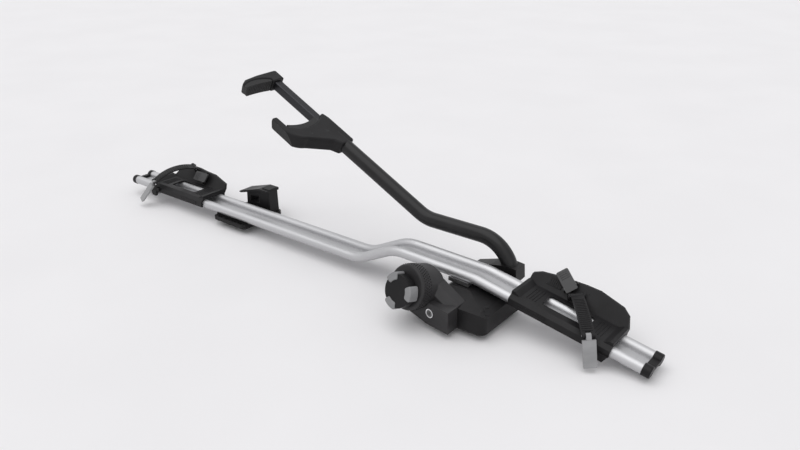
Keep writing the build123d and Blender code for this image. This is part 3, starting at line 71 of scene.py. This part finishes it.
# %% Camera
picture_width, picture_height = 800.0, 450.0
camera_place = Vector((-0.7036, 1.1631, 0.77005))
camera_look = Vector((0.5628, -0.7222, -0.4023)).normalized()
lens_data = bpy.data.cameras.new("camera")
lens_data.sensor_width = 36.0
lens_data.lens = 35.2
lens_data.clip_end = 60.0
camera = bpy.data.objects.new("camera", lens_data)
camera.location = camera_place
camera.rotation_mode = "QUATERNION"
camera.rotation_quaternion = camera_look.to_track_quat("-Z", "Y")
bpy.context.collection.objects.link(camera)
bpy.context.scene.camera = camera
bpy.context.scene.view_settings.view_transform = "Standard"
print("camera looks along", tuple(round(a, 3) for a in camera_look))

# %% [markdown]
# ## Floor
# The carrier lies on a pale sheet that reaches far past the edges of the picture. A swept back wall would
# hide the horizon, but it would also stand in the way of views from behind. A flat sheet works from every
# side, because the surroundings take over in nearly the same grey, so that only a faint line is left far away.
# It lies just under the lowest bolt.

# %% Floor
def nothing_selected():
    """Deselects everything, because new pieces start from their own selection."""
    bpy.ops.object.select_all(action="DESELECT")


floor_gap = 0.0006
floor_size = 40.0
rail_middle = 0.4
floor_height = cad_low[2] - floor_gap
nothing_selected()
bpy.ops.mesh.primitive_plane_add(size=floor_size, location=(rail_middle, 0.0, floor_height))
floor = bpy.context.object
floor.name = "studio_floor"
bpy.ops.object.transform_apply(location=True, rotation=True, scale=True)
print("floor at", round(floor_height, 4))

# %% [markdown]
# The sheet is matt and nearly neutral, the pale grey of the picture's panel. A very faint mottle keeps it
# from looking like an empty background, and it still takes the carrier's shadow.

# %% Finish of the floor
def new_finish(name, colour, roughness, metallic=0.0):
    """A material with its shader's plain values set."""
    finish = bpy.data.materials.new(name)
    finish.use_nodes = True
    shader = finish.node_tree.nodes["Principled BSDF"]
    shader.inputs["Base Color"].default_value = (*colour, 1.0)
    shader.inputs["Roughness"].default_value = roughness
    shader.inputs["Metallic"].default_value = metallic
    return finish, finish.node_tree, shader


def pattern(tree, kind, scale, stretch=(1.0, 1.0, 1.0), turn=(0.0, 0.0, 0.0), detail=2.0):
    """A noise or cell texture on the object's own coordinates, stretched along chosen axes."""
    place = tree.nodes.new("ShaderNodeTexCoord")
    mapping = tree.nodes.new("ShaderNodeMapping")
    mapping.inputs["Scale"].default_value = stretch
    mapping.inputs["Rotation"].default_value = turn
    texture = tree.nodes.new(kind)
    texture.inputs["Scale"].default_value = scale
    if kind == "ShaderNodeTexNoise":
        texture.inputs["Detail"].default_value = detail
    tree.links.new(place.outputs["Object"], mapping.inputs["Vector"])
    tree.links.new(mapping.outputs["Vector"], texture.inputs["Vector"])
    return texture


def spread(tree, source, low, high, start=0.3, stop=0.7):
    """Turns a texture's grey into a chosen range of one value."""
    ranging = tree.nodes.new("ShaderNodeMapRange")
    ranging.inputs["From Min"].default_value = start
    ranging.inputs["From Max"].default_value = stop
    ranging.inputs["To Min"].default_value = low
    ranging.inputs["To Max"].default_value = high
    tree.links.new(source, ranging.inputs["Value"])
    return ranging.outputs["Result"]


def blend_colours(tree, source, first, second, start=0.35, stop=0.65):
    """Two colours of one finish, mixed by a texture's grey."""
    ramp = tree.nodes.new("ShaderNodeValToRGB")
    ramp.color_ramp.elements[0].position = start
    ramp.color_ramp.elements[1].position = stop
    ramp.color_ramp.elements[0].color = (*first, 1.0)
    ramp.color_ramp.elements[1].color = (*second, 1.0)
    tree.links.new(source, ramp.inputs["Fac"])
    return ramp.outputs["Color"]


def add_bump(tree, shader, source, depth, strength=1.0):
    """Raises the surface by a texture, in the shading alone."""
    bump = tree.nodes.new("ShaderNodeBump")
    bump.inputs["Strength"].default_value = strength
    bump.inputs["Distance"].default_value = depth
    tree.links.new(source, bump.inputs["Height"])
    tree.links.new(bump.outputs["Normal"], shader.inputs["Normal"])


paper, tree, shader = new_finish("studio_paper", (0.835, 0.825, 0.835), 0.9)
mottle = pattern(tree, "ShaderNodeTexNoise", 3.0)
tree.links.new(
    blend_colours(tree, mottle.outputs["Fac"], (0.826, 0.816, 0.826), (0.842, 0.832, 0.842)),
    shader.inputs["Base Color"],
)
floor.data.materials.append(paper)
print("finish:", paper.name)

# %% [markdown]
# ## Light
# A product picture of black plastic needs broad, soft light, or the black parts lose their shape. A large
# panel close by would do it, but it also lights the floor unevenly. Two very wide distant lamps light every
# part of this long object alike: a strong one from above, which draws the bright line along the rail and
# the sheen on top of the black shells, and a weak one from beside the camera. The surroundings give the
# rest as even light, and metal sees them in nearly the pale grey of the floor.

# %% Surroundings and two wide lamps
world = bpy.data.worlds.new("studio")
bpy.context.scene.world = world
world.use_nodes = True
sky = world.node_tree
sky.nodes.clear()
out = sky.nodes.new("ShaderNodeOutputWorld")
even = sky.nodes.new("ShaderNodeBackground")
even.inputs["Color"].default_value = (0.98, 0.985, 1.0, 1.0)
even.inputs["Strength"].default_value = 0.60
seen = sky.nodes.new("ShaderNodeBackground")
seen.inputs["Color"].default_value = (0.83, 0.83, 0.845, 1.0)
seen.inputs["Strength"].default_value = 1.0
path = sky.nodes.new("ShaderNodeLightPath")
either = sky.nodes.new("ShaderNodeMath")
either.operation = "MAXIMUM"
any_of = sky.nodes.new("ShaderNodeMath")
any_of.operation = "MAXIMUM"
choose = sky.nodes.new("ShaderNodeMixShader")
sky.links.new(path.outputs["Is Camera Ray"], either.inputs[0])
sky.links.new(path.outputs["Is Glossy Ray"], either.inputs[1])
sky.links.new(either.outputs[0], any_of.inputs[0])
sky.links.new(path.outputs["Is Transmission Ray"], any_of.inputs[1])
sky.links.new(any_of.outputs[0], choose.inputs["Fac"])
sky.links.new(even.outputs["Background"], choose.inputs[1])
sky.links.new(seen.outputs["Background"], choose.inputs[2])
sky.links.new(choose.outputs["Shader"], out.inputs["Surface"])


lamp_distance = 3.0


def wide_lamp(name, towards, spread_degrees, strength):
    """A distant lamp with a wide disc, which shines from a direction."""
    data = bpy.data.lights.new(name, "SUN")
    data.angle = radians(spread_degrees)
    data.energy = strength
    lamp = bpy.data.objects.new(name, data)
    lamp.location = Vector(towards) * lamp_distance
    lamp.rotation_mode = "QUATERNION"
    lamp.rotation_quaternion = (-Vector(towards)).to_track_quat("-Z", "Y")
    bpy.context.collection.objects.link(lamp)
    return lamp


wide_lamp("top_lamp", (0.10, 0.28, 0.95), 70.0, 1.25)
wide_lamp("side_lamp", (-0.75, 0.50, 0.45), 60.0, 0.30)

# %% [markdown]
# ## Satin aluminium
# The rail is one long extrusion. Drawing it through the die leaves fine lines along its length, and the
# anodising turns the shine into a soft band of light. Scratches could be painted on as pictures, but a noise
# that is stretched along the rail and squeezed across it gives the same lines at any distance.

# %% Satin aluminium
satin, tree, shader = new_finish("satin_aluminium", (0.53, 0.53, 0.54), 0.47, 0.94)
lines = pattern(tree, "ShaderNodeTexNoise", 40.0, stretch=(0.05, 26.0, 26.0), detail=3.0)
clouds = pattern(tree, "ShaderNodeTexNoise", 9.0)
tree.links.new(
    blend_colours(tree, lines.outputs["Fac"], (0.51, 0.51, 0.518), (0.56, 0.56, 0.57), 0.25, 0.75),
    shader.inputs["Base Color"],
)
tree.links.new(spread(tree, clouds.outputs["Fac"], 0.44, 0.53), shader.inputs["Roughness"])
add_bump(tree, shader, lines.outputs["Fac"], 0.00006, 0.5)
print("finish:", satin.name)

# %% [markdown]
# ## Black mouldings
# Trays, base, foot and claws are injection moulded in black, glass-filled plastic. The mould is etched, so
# the surface has a fine leather-like grain that keeps it satin. Handling polishes it in patches, which a
# second, larger noise puts into the roughness. One recipe makes four blacks: a coarse grain for the large
# shells, a fine one for end caps and small parts, a paler one for the drum's cover, whose paler colour is a
# painted sheen that stands in for the light on its top, and a duller one for the straps.

# %% Black moulded plastic
def moulded_black(name, colour, grain, depth, smooth, rough):
    """Etched black plastic: small cells for the grain, broad noise for handling marks."""
    finish, tree, shader = new_finish(name, colour, rough)
    shader.inputs["Specular IOR Level"].default_value = 0.20
    cells = pattern(tree, "ShaderNodeTexVoronoi", grain)
    cells.feature = "SMOOTH_F1"
    wear = pattern(tree, "ShaderNodeTexNoise", 14.0, detail=4.0)
    light = tuple(1.55 * c for c in colour)
    tree.links.new(blend_colours(tree, wear.outputs["Fac"], colour, light), shader.inputs["Base Color"])
    tree.links.new(spread(tree, wear.outputs["Fac"], rough, smooth), shader.inputs["Roughness"])
    add_bump(tree, shader, cells.outputs["Distance"], depth, 0.6)
    return finish


shell_black = moulded_black("shell_black", (0.0086, 0.0082, 0.0087), 900.0, 0.00018, 0.38, 0.50)
small_black = moulded_black("small_black", (0.0062, 0.0058, 0.0063), 1600.0, 0.00008, 0.34, 0.44)
# The drum cover's paler colour is a painted sheen: it stands in for the light on the cover's top.
painted_sheen_black = moulded_black("painted_sheen_black", (0.0240, 0.0232, 0.0241), 1100.0, 0.00012, 0.30, 0.40)
strap_black = moulded_black("strap_black", (0.0090, 0.0086, 0.0091), 1300.0, 0.0001, 0.42, 0.54)
print("finishes:", shell_black.name, small_black.name, painted_sheen_black.name, strap_black.name)

# %% [markdown]
# ## Painted arm tube
# The arm is a steel tube with a black powder coat. Powder flows into a glossy skin with a slight waviness,
# called orange peel. The waves are wide and very shallow, so they only bend the reflections.

# %% Black powder coat and anodised bar
coat, tree, shader = new_finish("black_powder_coat", (0.009, 0.0087, 0.0091), 0.36)
shader.inputs["Specular IOR Level"].default_value = 0.24
shader.inputs["Coat Weight"].default_value = 0.12
shader.inputs["Coat Roughness"].default_value = 0.12
peel = pattern(tree, "ShaderNodeTexNoise", 260.0, detail=1.0)
dust = pattern(tree, "ShaderNodeTexNoise", 30.0, detail=5.0)
tree.links.new(
    blend_colours(tree, dust.outputs["Fac"], (0.0085, 0.0082, 0.0086), (0.0130, 0.0126, 0.0131), 0.4, 0.7),
    shader.inputs["Base Color"],
)
tree.links.new(spread(tree, dust.outputs["Fac"], 0.32, 0.44), shader.inputs["Roughness"])
add_bump(tree, shader, peel.outputs["Fac"], 0.00012, 0.35)

dark_bar, tree, shader = new_finish("black_anodised_bar", (0.035, 0.035, 0.038), 0.34, 0.85)
arm_turn = (0.0, radians(27.2), 0.0)
drawn = pattern(tree, "ShaderNodeTexNoise", 40.0, stretch=(0.06, 24.0, 24.0), turn=arm_turn)
tree.links.new(
    blend_colours(tree, drawn.outputs["Fac"], (0.028, 0.028, 0.031), (0.046, 0.046, 0.05)),
    shader.inputs["Base Color"],
)
tree.links.new(spread(tree, drawn.outputs["Fac"], 0.29, 0.42), shader.inputs["Roughness"])
add_bump(tree, shader, drawn.outputs["Fac"], 0.00005, 0.4)
print("finishes:", coat.name, dark_bar.name)

# %% [markdown]
# ## Grey mouldings
# The three finger grips of the knob and the release tabs are light grey, so that a user sees at once what to
# touch. The ratchet levers and the bearing bushes are a darker grey. They share one recipe with a fine, even
# grain, and each keeps its own colour.

# %% Grey moulded plastic
def moulded_grey(name, colour, rough):
    """Smooth coloured plastic with a fine even grain and faint flow marks."""
    finish, tree, shader = new_finish(name, colour, rough)
    grain = pattern(tree, "ShaderNodeTexNoise", 1500.0, detail=2.0)
    flow = pattern(tree, "ShaderNodeTexNoise", 22.0, stretch=(1.0, 0.5, 2.0), detail=3.0)
    dull = tuple(0.88 * c for c in colour)
    light = tuple(1.08 * c for c in colour)
    tree.links.new(blend_colours(tree, flow.outputs["Fac"], dull, light), shader.inputs["Base Color"])
    tree.links.new(spread(tree, flow.outputs["Fac"], rough - 0.05, rough + 0.06), shader.inputs["Roughness"])
    add_bump(tree, shader, grain.outputs["Fac"], 0.00008, 0.4)
    return finish


grip_grey = moulded_grey("grip_grey", (0.235, 0.235, 0.24), 0.45)
tab_grey = moulded_grey("tab_grey", (0.275, 0.275, 0.28), 0.47)
lever_grey = moulded_grey("lever_grey", (0.036, 0.0355, 0.0365), 0.44)
bearing_grey = moulded_grey("bearing_grey", (0.075, 0.075, 0.076), 0.38)
print("finishes:", grip_grey.name, tab_grey.name, lever_grey.name, bearing_grey.name)

# %% [markdown]
# ## Rubber, zinc, brass and the lock
# Pads that touch a car or a bicycle are matt rubber with a powdery bloom. Bolts and pins are zinc plated
# steel, which is cloudy rather than mirror bright. The threaded inserts are turned brass, with rings round
# their axis, and the lock barrel is polished. Its darker colour is painted shade of its key slot.

# %% Rubber
rubber, tree, shader = new_finish("black_rubber", (0.018, 0.018, 0.019), 0.75)
bloom = pattern(tree, "ShaderNodeTexNoise", 60.0, detail=5.0)
speck = pattern(tree, "ShaderNodeTexNoise", 900.0, detail=1.0)
tree.links.new(
    blend_colours(tree, bloom.outputs["Fac"], (0.010, 0.0098, 0.0101), (0.022, 0.0217, 0.0222)),
    shader.inputs["Base Color"],
)
tree.links.new(spread(tree, bloom.outputs["Fac"], 0.66, 0.86), shader.inputs["Roughness"])
add_bump(tree, shader, speck.outputs["Fac"], 0.00015, 0.5)
print("finish:", rubber.name)

# %% Metals of the small parts
def plated(name, dark, light, rough, cloud):
    """A metal whose tone and shine wander over the surface like plating does."""
    finish, tree, shader = new_finish(name, light, rough, 1.0)
    tone = pattern(tree, "ShaderNodeTexNoise", cloud, detail=4.0)
    scratch = pattern(tree, "ShaderNodeTexNoise", 300.0, stretch=(0.2, 4.0, 4.0), detail=2.0)
    tree.links.new(blend_colours(tree, tone.outputs["Fac"], dark, light), shader.inputs["Base Color"])
    shine = spread(tree, scratch.outputs["Fac"], rough - 0.06, rough + 0.10)
    tree.links.new(shine, shader.inputs["Roughness"])
    add_bump(tree, shader, scratch.outputs["Fac"], 0.00003, 0.4)
    return finish


zinc = plated("zinc_plated_steel", (0.46, 0.46, 0.47), (0.60, 0.60, 0.60), 0.34, 120.0)
brass = plated("turned_brass", (0.60, 0.44, 0.20), (0.78, 0.60, 0.31), 0.28, 200.0)
lock_bright = plated("lock_bright", (0.70, 0.70, 0.71), (0.80, 0.80, 0.81), 0.22, 160.0)
# The barrel's dark colour is painted shade: it stands in for the shade in the key slot.
lock_painted_slot_shade = plated("lock_painted_slot_shade", (0.10, 0.10, 0.10), (0.16, 0.16, 0.16), 0.34, 200.0)
black_zinc = plated("black_zinc", (0.030, 0.030, 0.031), (0.050, 0.050, 0.051), 0.40, 160.0)
print("finishes:", zinc.name, brass.name, lock_bright.name, lock_painted_slot_shade.name, black_zinc.name)

# %% [markdown]
# ## Finishes onto the working pieces
# Every working piece names the finish that it is made of, so the finishes are handed out by that name. A few
# pieces then get a closer match: the end caps and the knob's hub have the finer grain, the drum's cover is
# paler as a painted sheen, the lock's barrel is darker than its ring as painted shade of its key slot, and
# the arm's screws and pin are black.

# %% Hand out the finishes
by_slot = {
    "satin_aluminium": satin,
    "black_plastic": shell_black,
    "black_rubber": rubber,
    "insert_brass": brass,
    "bright_steel": zinc,
    "bearing_plastic": bearing_grey,
    "lock_metal": lock_bright,
    "painted_tube": coat,
    "black_aluminium": dark_bar,
    "knob_grey": grip_grey,
    "strap_rubber": strap_black,
    "tab_grey": tab_grey,
    "lever_grey": lever_grey,
}
finer = {
    "rail_front_cap": small_black,
    "rail_rear_cap": small_black,
    "knob_hub": small_black,
    # The drum cover's paler black is a painted sheen.
    "knob_housing": painted_sheen_black,
    # The barrel's dark metal is painted shade of the key slot.
    "lock_barrel": lock_painted_slot_shade,
    "claw_screws": black_zinc,
    "jaw_pin": black_zinc,
}
slot_of = {part["node"]: part["material_slot"] for part in frame["record"]["subparts"]}
for name, piece in nodes.items():
    finish = finer.get(name, by_slot[slot_of[name]])
    piece.data.materials.clear()
    piece.data.materials.append(finish)
print("finished nodes:", len(nodes))

# %% [markdown]
# ## Small tools for moulded detail
# Grip ridges, studs and blank name plates all sit on a surface of the working model. Their places could be
# typed in, but a ray that is cast onto the piece finds its true surface and the direction it faces, so the
# detail stays seated when the piece changes.

# %% Finding a surface and placing a copy on it
def surface(node, start, direction):
    """Where a ray meets a working piece, and the direction that the surface faces there."""
    hit, point, normal, _ = nodes[node].ray_cast(Vector(start), Vector(direction).normalized())
    if not hit:
        return None
    if normal.dot(Vector(direction)) > 0:
        normal = -normal
    return point, normal


def placing(point, along, up):
    """A placement with local x along one direction and local z up from the surface."""
    z = up.normalized()
    x = (along - z * along.dot(z)).normalized()
    y = z.cross(x)
    turn = Matrix((x, y, z)).transposed().to_4x4()
    return Matrix.Translation(point) @ turn


def copies(model, name, places):
    """Copies one modelled shape to each place, each with its own mesh, and joins them into one piece."""
    made = []
    for k, place in enumerate(places):
        mesh = model.data.copy()
        mesh.transform(place)
        piece = bpy.data.objects.new(f"{name}_{k}", mesh)
        bpy.context.collection.objects.link(piece)
        made.append(piece)
    nothing_selected()
    for piece in made:
        piece.select_set(True)
    bpy.context.view_layer.objects.active = made[0]
    if len(made) > 1:
        bpy.ops.object.join()
    joined = bpy.context.object
    joined.name = name
    joined.data.name = name
    return joined


def dress(piece, finish, body):
    """Gives a new piece its finish and the body it moves with."""
    piece.data.materials.clear()
    piece.data.materials.append(finish)
    nothing_selected()
    piece.select_set(True)
    bpy.context.view_layer.objects.active = piece
    bpy.ops.object.shade_smooth_by_angle(angle=radians(40.0))
    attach(piece, body)


print("helpers ready")

# %% [markdown]
# ## One ridge, one stud, one plate
# A grip ridge is a low bar with sloping sides. It starts as a cube of its size, its top face is drawn in, and
# its edges are bevelled. A stud is a four-sided pyramid with its tip cut off. A name plate is a thin block
# whose face is inset and pushed down, which leaves a raised rim round a bare field.

# %% Model the shapes that repeat
def shaped_block(name, length, width, height, draw_in, edge):
    """A low block on the plane z 0 with its top drawn in and its edges bevelled."""
    nothing_selected()
    bpy.ops.mesh.primitive_cube_add(size=1.0, location=(0.0, 0.0, 0.0))
    block = bpy.context.object
    block.name = name
    block.scale = (length, width, height)
    block.location = (0.0, 0.0, height / 2)
    bpy.ops.object.transform_apply(location=True, rotation=True, scale=True)
    bpy.ops.object.mode_set(mode="EDIT")
    bpy.ops.mesh.select_all(action="DESELECT")
    bpy.ops.object.mode_set(mode="OBJECT")
    for face in block.data.polygons:
        face.select = face.normal.z > 0.5
    bpy.ops.object.mode_set(mode="EDIT")
    bpy.ops.transform.resize(value=(1 - 2 * draw_in / length, 1 - 2 * draw_in / width, 1.0))
    bpy.ops.mesh.select_all(action="SELECT")
    bpy.ops.mesh.bevel(offset=edge, segments=2, affect="EDGES")
    bpy.ops.object.mode_set(mode="OBJECT")
    return block


def name_plate(name, length, width, height, rim, sink):
    """A blank plate: a thin block whose face is inset and pushed down inside a rim."""
    plate = shaped_block(name, length, width, height, 0.0004, 0.00015)
    top = max(face.center.z for face in plate.data.polygons)
    bpy.ops.object.mode_set(mode="EDIT")
    bpy.ops.mesh.select_all(action="DESELECT")
    bpy.ops.object.mode_set(mode="OBJECT")
    for face in plate.data.polygons:
        face.select = face.normal.z > 0.9 and face.center.z > top - 0.00001
    bpy.ops.object.mode_set(mode="EDIT")
    bpy.ops.mesh.inset(thickness=rim, depth=0.0)
    bpy.ops.mesh.inset(thickness=sink, depth=-sink)
    bpy.ops.object.mode_set(mode="OBJECT")
    return plate


sunk = 0.0003
tray_ridge = shaped_block("tray_ridge", 0.044, 0.0022, 0.0012, 0.0006, 0.0003)
finger_ridge = shaped_block("finger_ridge", 0.017, 0.0018, 0.0011, 0.0005, 0.0003)
pad_ridge = shaped_block("pad_ridge", 0.024, 0.0022, 0.0014, 0.0006, 0.0003)
drum_stud = shaped_block("drum_stud", 0.0034, 0.0034, 0.0016, 0.0011, 0.0002)
chevron_leg = shaped_block("chevron_leg", 0.0115, 0.0026, 0.0011, 0.0006, 0.0003)
plate_model = name_plate("plate_model", 0.058, 0.0088, 0.0012, 0.0006, 0.0004)
print("faces of one stud:", len(drum_stud.data.polygons))

# %% [markdown]
# ## Wheel trays
# A tyre stands on ribs across both ends of each tray, so that it doesn't slip while the strap is pulled.
# The near wall carries a long plate, left bare here. The ribs run across the tray, so each is placed by a
# ray straight down onto the tray's floor, at even steps outward from the window.

# %% Ribs and plate of each tray
tail_lean = 0.17721
trays = {
    "front": (Vector((0.906, 0.0, 0.027)), Vector((1.0, 0.0, 0.0)),
              Vector((0.0, 0.0, 1.0)), 1.0, radians(0.0)),
    "rear": (Vector((-0.180, 0.0, 0.03909)), Vector((0.98417, 0.0, tail_lean)),
             Vector((-tail_lean, 0.0, 0.98417)), -1.0, radians(34.3)),
}
across = Vector((0.0, 1.0, 0.0))
rib_reaches = (0.058, 0.064, 0.070, 0.076)
rib_shift = 0.003
ray_height = 0.10
plate_reach, plate_height, plate_ray = 0.052, 0.001, 0.12


def tray_ribs(end):
    """Ribs across both ends of a tray's floor."""
    origin, forward, up, side, _ = trays[end]
    places = []
    for reach in rib_reaches + tuple(-reach for reach in rib_reaches):
        start = origin + forward * side * reach - across * rib_shift + up * ray_height
        found = surface(f"{end}_tray", start, -up)
        if found:
            point, normal = found
            places.append(placing(point - normal * sunk, across, normal))
    return places


def tray_plate(end):
    """The blank plate on the near wall, towards the inner end."""
    origin, forward, up, side, _ = trays[end]
    start = origin - forward * side * plate_reach + across * plate_ray + up * plate_height
    point, normal = surface(f"{end}_tray", start, -across)
    return placing(point - normal * sunk, forward, normal)


for end in trays:
    ribs = copies(tray_ridge, f"{end}_tray_ribs", tray_ribs(end))
    dress(ribs, shell_black, f"{end}_tray")
    plate = copies(plate_model, f"{end}_tray_plate", [tray_plate(end)])
    dress(plate, small_black, f"{end}_tray")
    print(end, "tray ribs and plate:", len(ribs.data.polygons) + len(plate.data.polygons), "faces")

# %% [markdown]
# ## Finger ridges on the levers
# A ratchet lever is worked by a thumb or two fingers, so its free end has short ridges. Each lever lies over
# the sloping far panel, so its ridges are found along that panel's own direction. The release tabs stay
# smooth.

# %% Ridges on the levers
panel_across, panel_rise = 0.7744, 0.6327
ridge_steps = (0.005, 0.009, 0.013, 0.017)
ridge_ray = 0.05


def lever_ridges(end):
    """Four ridges near the free end of a ratchet lever."""
    origin, forward, up, side, angle = trays[end]
    normal = (across * panel_across + up * panel_rise).normalized()
    rise = normal.cross(forward).normalized()
    if rise.dot(up) < 0:
        rise = -rise
    heading = forward * cos(angle) + rise * sin(angle)
    low, high = (Vector(corner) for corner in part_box(f"{end}_ratchet_lever"))
    middle = (low + high) / 2
    places = []
    for step in ridge_steps:
        found = surface(f"{end}_ratchet_lever", middle + heading * step + normal * ridge_ray, -normal)
        if found and found[1].dot(normal) > 0.9:
            places.append(placing(found[0] - normal * sunk, normal.cross(heading), normal))
    return places


for end in trays:
    places = lever_ridges(end)
    if places:
        ridges = copies(finger_ridge, f"{end}_lever_ridges", places)
        dress(ridges, lever_grey, f"{end}_lever")
    print(end, "lever ridges:", len(places))

# %% [markdown]
# ## Drum beside the knob
# The cable drum's cover is knurled behind the knob, so that a hand can steady it. Rows of small studs follow
# its round surface. Each stud is placed by a ray towards the drum's axis and is kept only where the ray meets
# the round cover itself.

# %% Studs round the drum
knob_axis = Vector((0.1506, 0.9508, 0.2706)).normalized()
knob_middle = Vector((0.089, 0.145, 0.0685))
drum_up = (Vector((0.0, 0.0, 1.0)) - knob_axis * knob_axis.z).normalized()
drum_side = drum_up.cross(knob_axis).normalized()
drum_lift, drum_radius, drum_ray = 0.006, 0.044, 0.07
drum_middle = knob_middle + drum_up * drum_lift
stud_rows, studs_around = 4, 52
first_row, row_pitch = 0.0215, 0.0050
round_error = 0.0004


def drum_places():
    """Staggered rows of studs on the round cover."""
    places = []
    for row in range(stud_rows):
        centre = drum_middle - knob_axis * (first_row + row_pitch * row)
        for k in range(studs_around):
            turn = 2 * pi * (k + 0.5 * (row % 2)) / studs_around
            outward = drum_up * cos(turn) + drum_side * sin(turn)
            found = surface("knob_housing", centre + outward * drum_ray, -outward)
            if not found or found[1].dot(outward) <= 0.95:
                continue
            if abs((found[0] - centre).length - drum_radius) < round_error:
                heading = knob_axis + outward.cross(knob_axis)
                places.append(placing(found[0] - found[1] * sunk, heading, found[1]))
    return places


studs = copies(drum_stud, "drum_studs", drum_places())
dress(studs, shell_black, "carrier")
print("drum studs:", len(studs.data.polygons), "faces")

# %% [markdown]
# ## Ridges of the rubber jaws
# The two jaw pads press on a bicycle's down tube. Ribs across their faces bend a little and grip, and they
# let water out. Rays are cast along the arm onto each pad, from the middle of the jaw opening.

# %% Ribs of both jaw pads
arm_start = Vector((0.1865, -0.070, 0.1185))
arm_along = Vector((0.8894, 0.0, 0.4571)).normalized()
arm_up = Vector((-0.4571, 0.0, 0.8894)).normalized()
jaw_middle = 0.42
pad_first, pad_pitch, pad_tries = 0.017, 0.0055, 16


def pad_places(node, way):
    """Ribs across a jaw pad, at even steps outward from the arm."""
    places = []
    for k in range(pad_tries):
        origin = arm_start + arm_along * jaw_middle + across * (pad_first + pad_pitch * k)
        found = surface(node, origin, arm_along * way)
        if found and abs(found[1].dot(arm_along)) > 0.5:
            places.append(placing(found[0] - found[1] * sunk, arm_up, found[1]))
    return places


for node, way, body in (("lower_claw_pad", -1, "arm"), ("upper_claw_pad", 1, "jaw")):
    places = pad_places(node, way)
    ribs = copies(pad_ridge, f"{node}_ribs", places)
    dress(ribs, rubber, body)
    print(node, "ribs:", len(places))

# %% [markdown]
# ## Chevrons on the base
# The near side of the base carries two moulded chevrons. Each is two short bars that meet at a point. They
# are placed by looking through the camera at the base, and they sit on the surface that is seen there.

# %% Chevrons
camera_right = camera_look.cross(Vector((0.0, 0.0, 1.0))).normalized()
camera_up = camera_right.cross(camera_look).normalized()
chevron_slope = radians(38.0)
chevron_half = 0.0048
chevron_column, chevron_rows = 484.0, (308.0, 315.0)


def seen_through(px, py, node):
    """The surface of a piece behind a point of the picture, counted from its top left corner."""
    focal = lens_data.lens / lens_data.sensor_width * picture_width
    right, down = px - picture_width / 2, py - picture_height / 2
    ray = camera_look * focal + camera_right * right - camera_up * down
    return surface(node, camera_place, ray)


def chevron_places(px, py):
    """The two bars of one chevron, pointing up the wall."""
    point, normal = seen_through(px, py, "base_body")
    rise = (Vector((0.0, 0.0, 1.0)) - normal * normal.z).normalized()
    along = rise.cross(normal).normalized()
    places = []
    for way in (-1, 1):
        heading = along * way * cos(chevron_slope) - rise * sin(chevron_slope)
        places.append(placing(point + heading * chevron_half - normal * sunk, heading, normal))
    return places


upper_row, lower_row = (chevron_places(chevron_column, row) for row in chevron_rows)
chevrons = copies(chevron_leg, "base_chevrons", upper_row + lower_row)
dress(chevrons, shell_black, "carrier")
print("chevrons:", len(chevrons.data.polygons), "faces")

# %% [markdown]
# ## Clear away
# The modelled originals of the repeated shapes aren't part of the carrier, so they are removed.

# %% Remove the originals
for model in (tray_ridge, finger_ridge, pad_ridge, drum_stud, chevron_leg, plate_model):
    bpy.data.objects.remove(model, do_unlink=True)
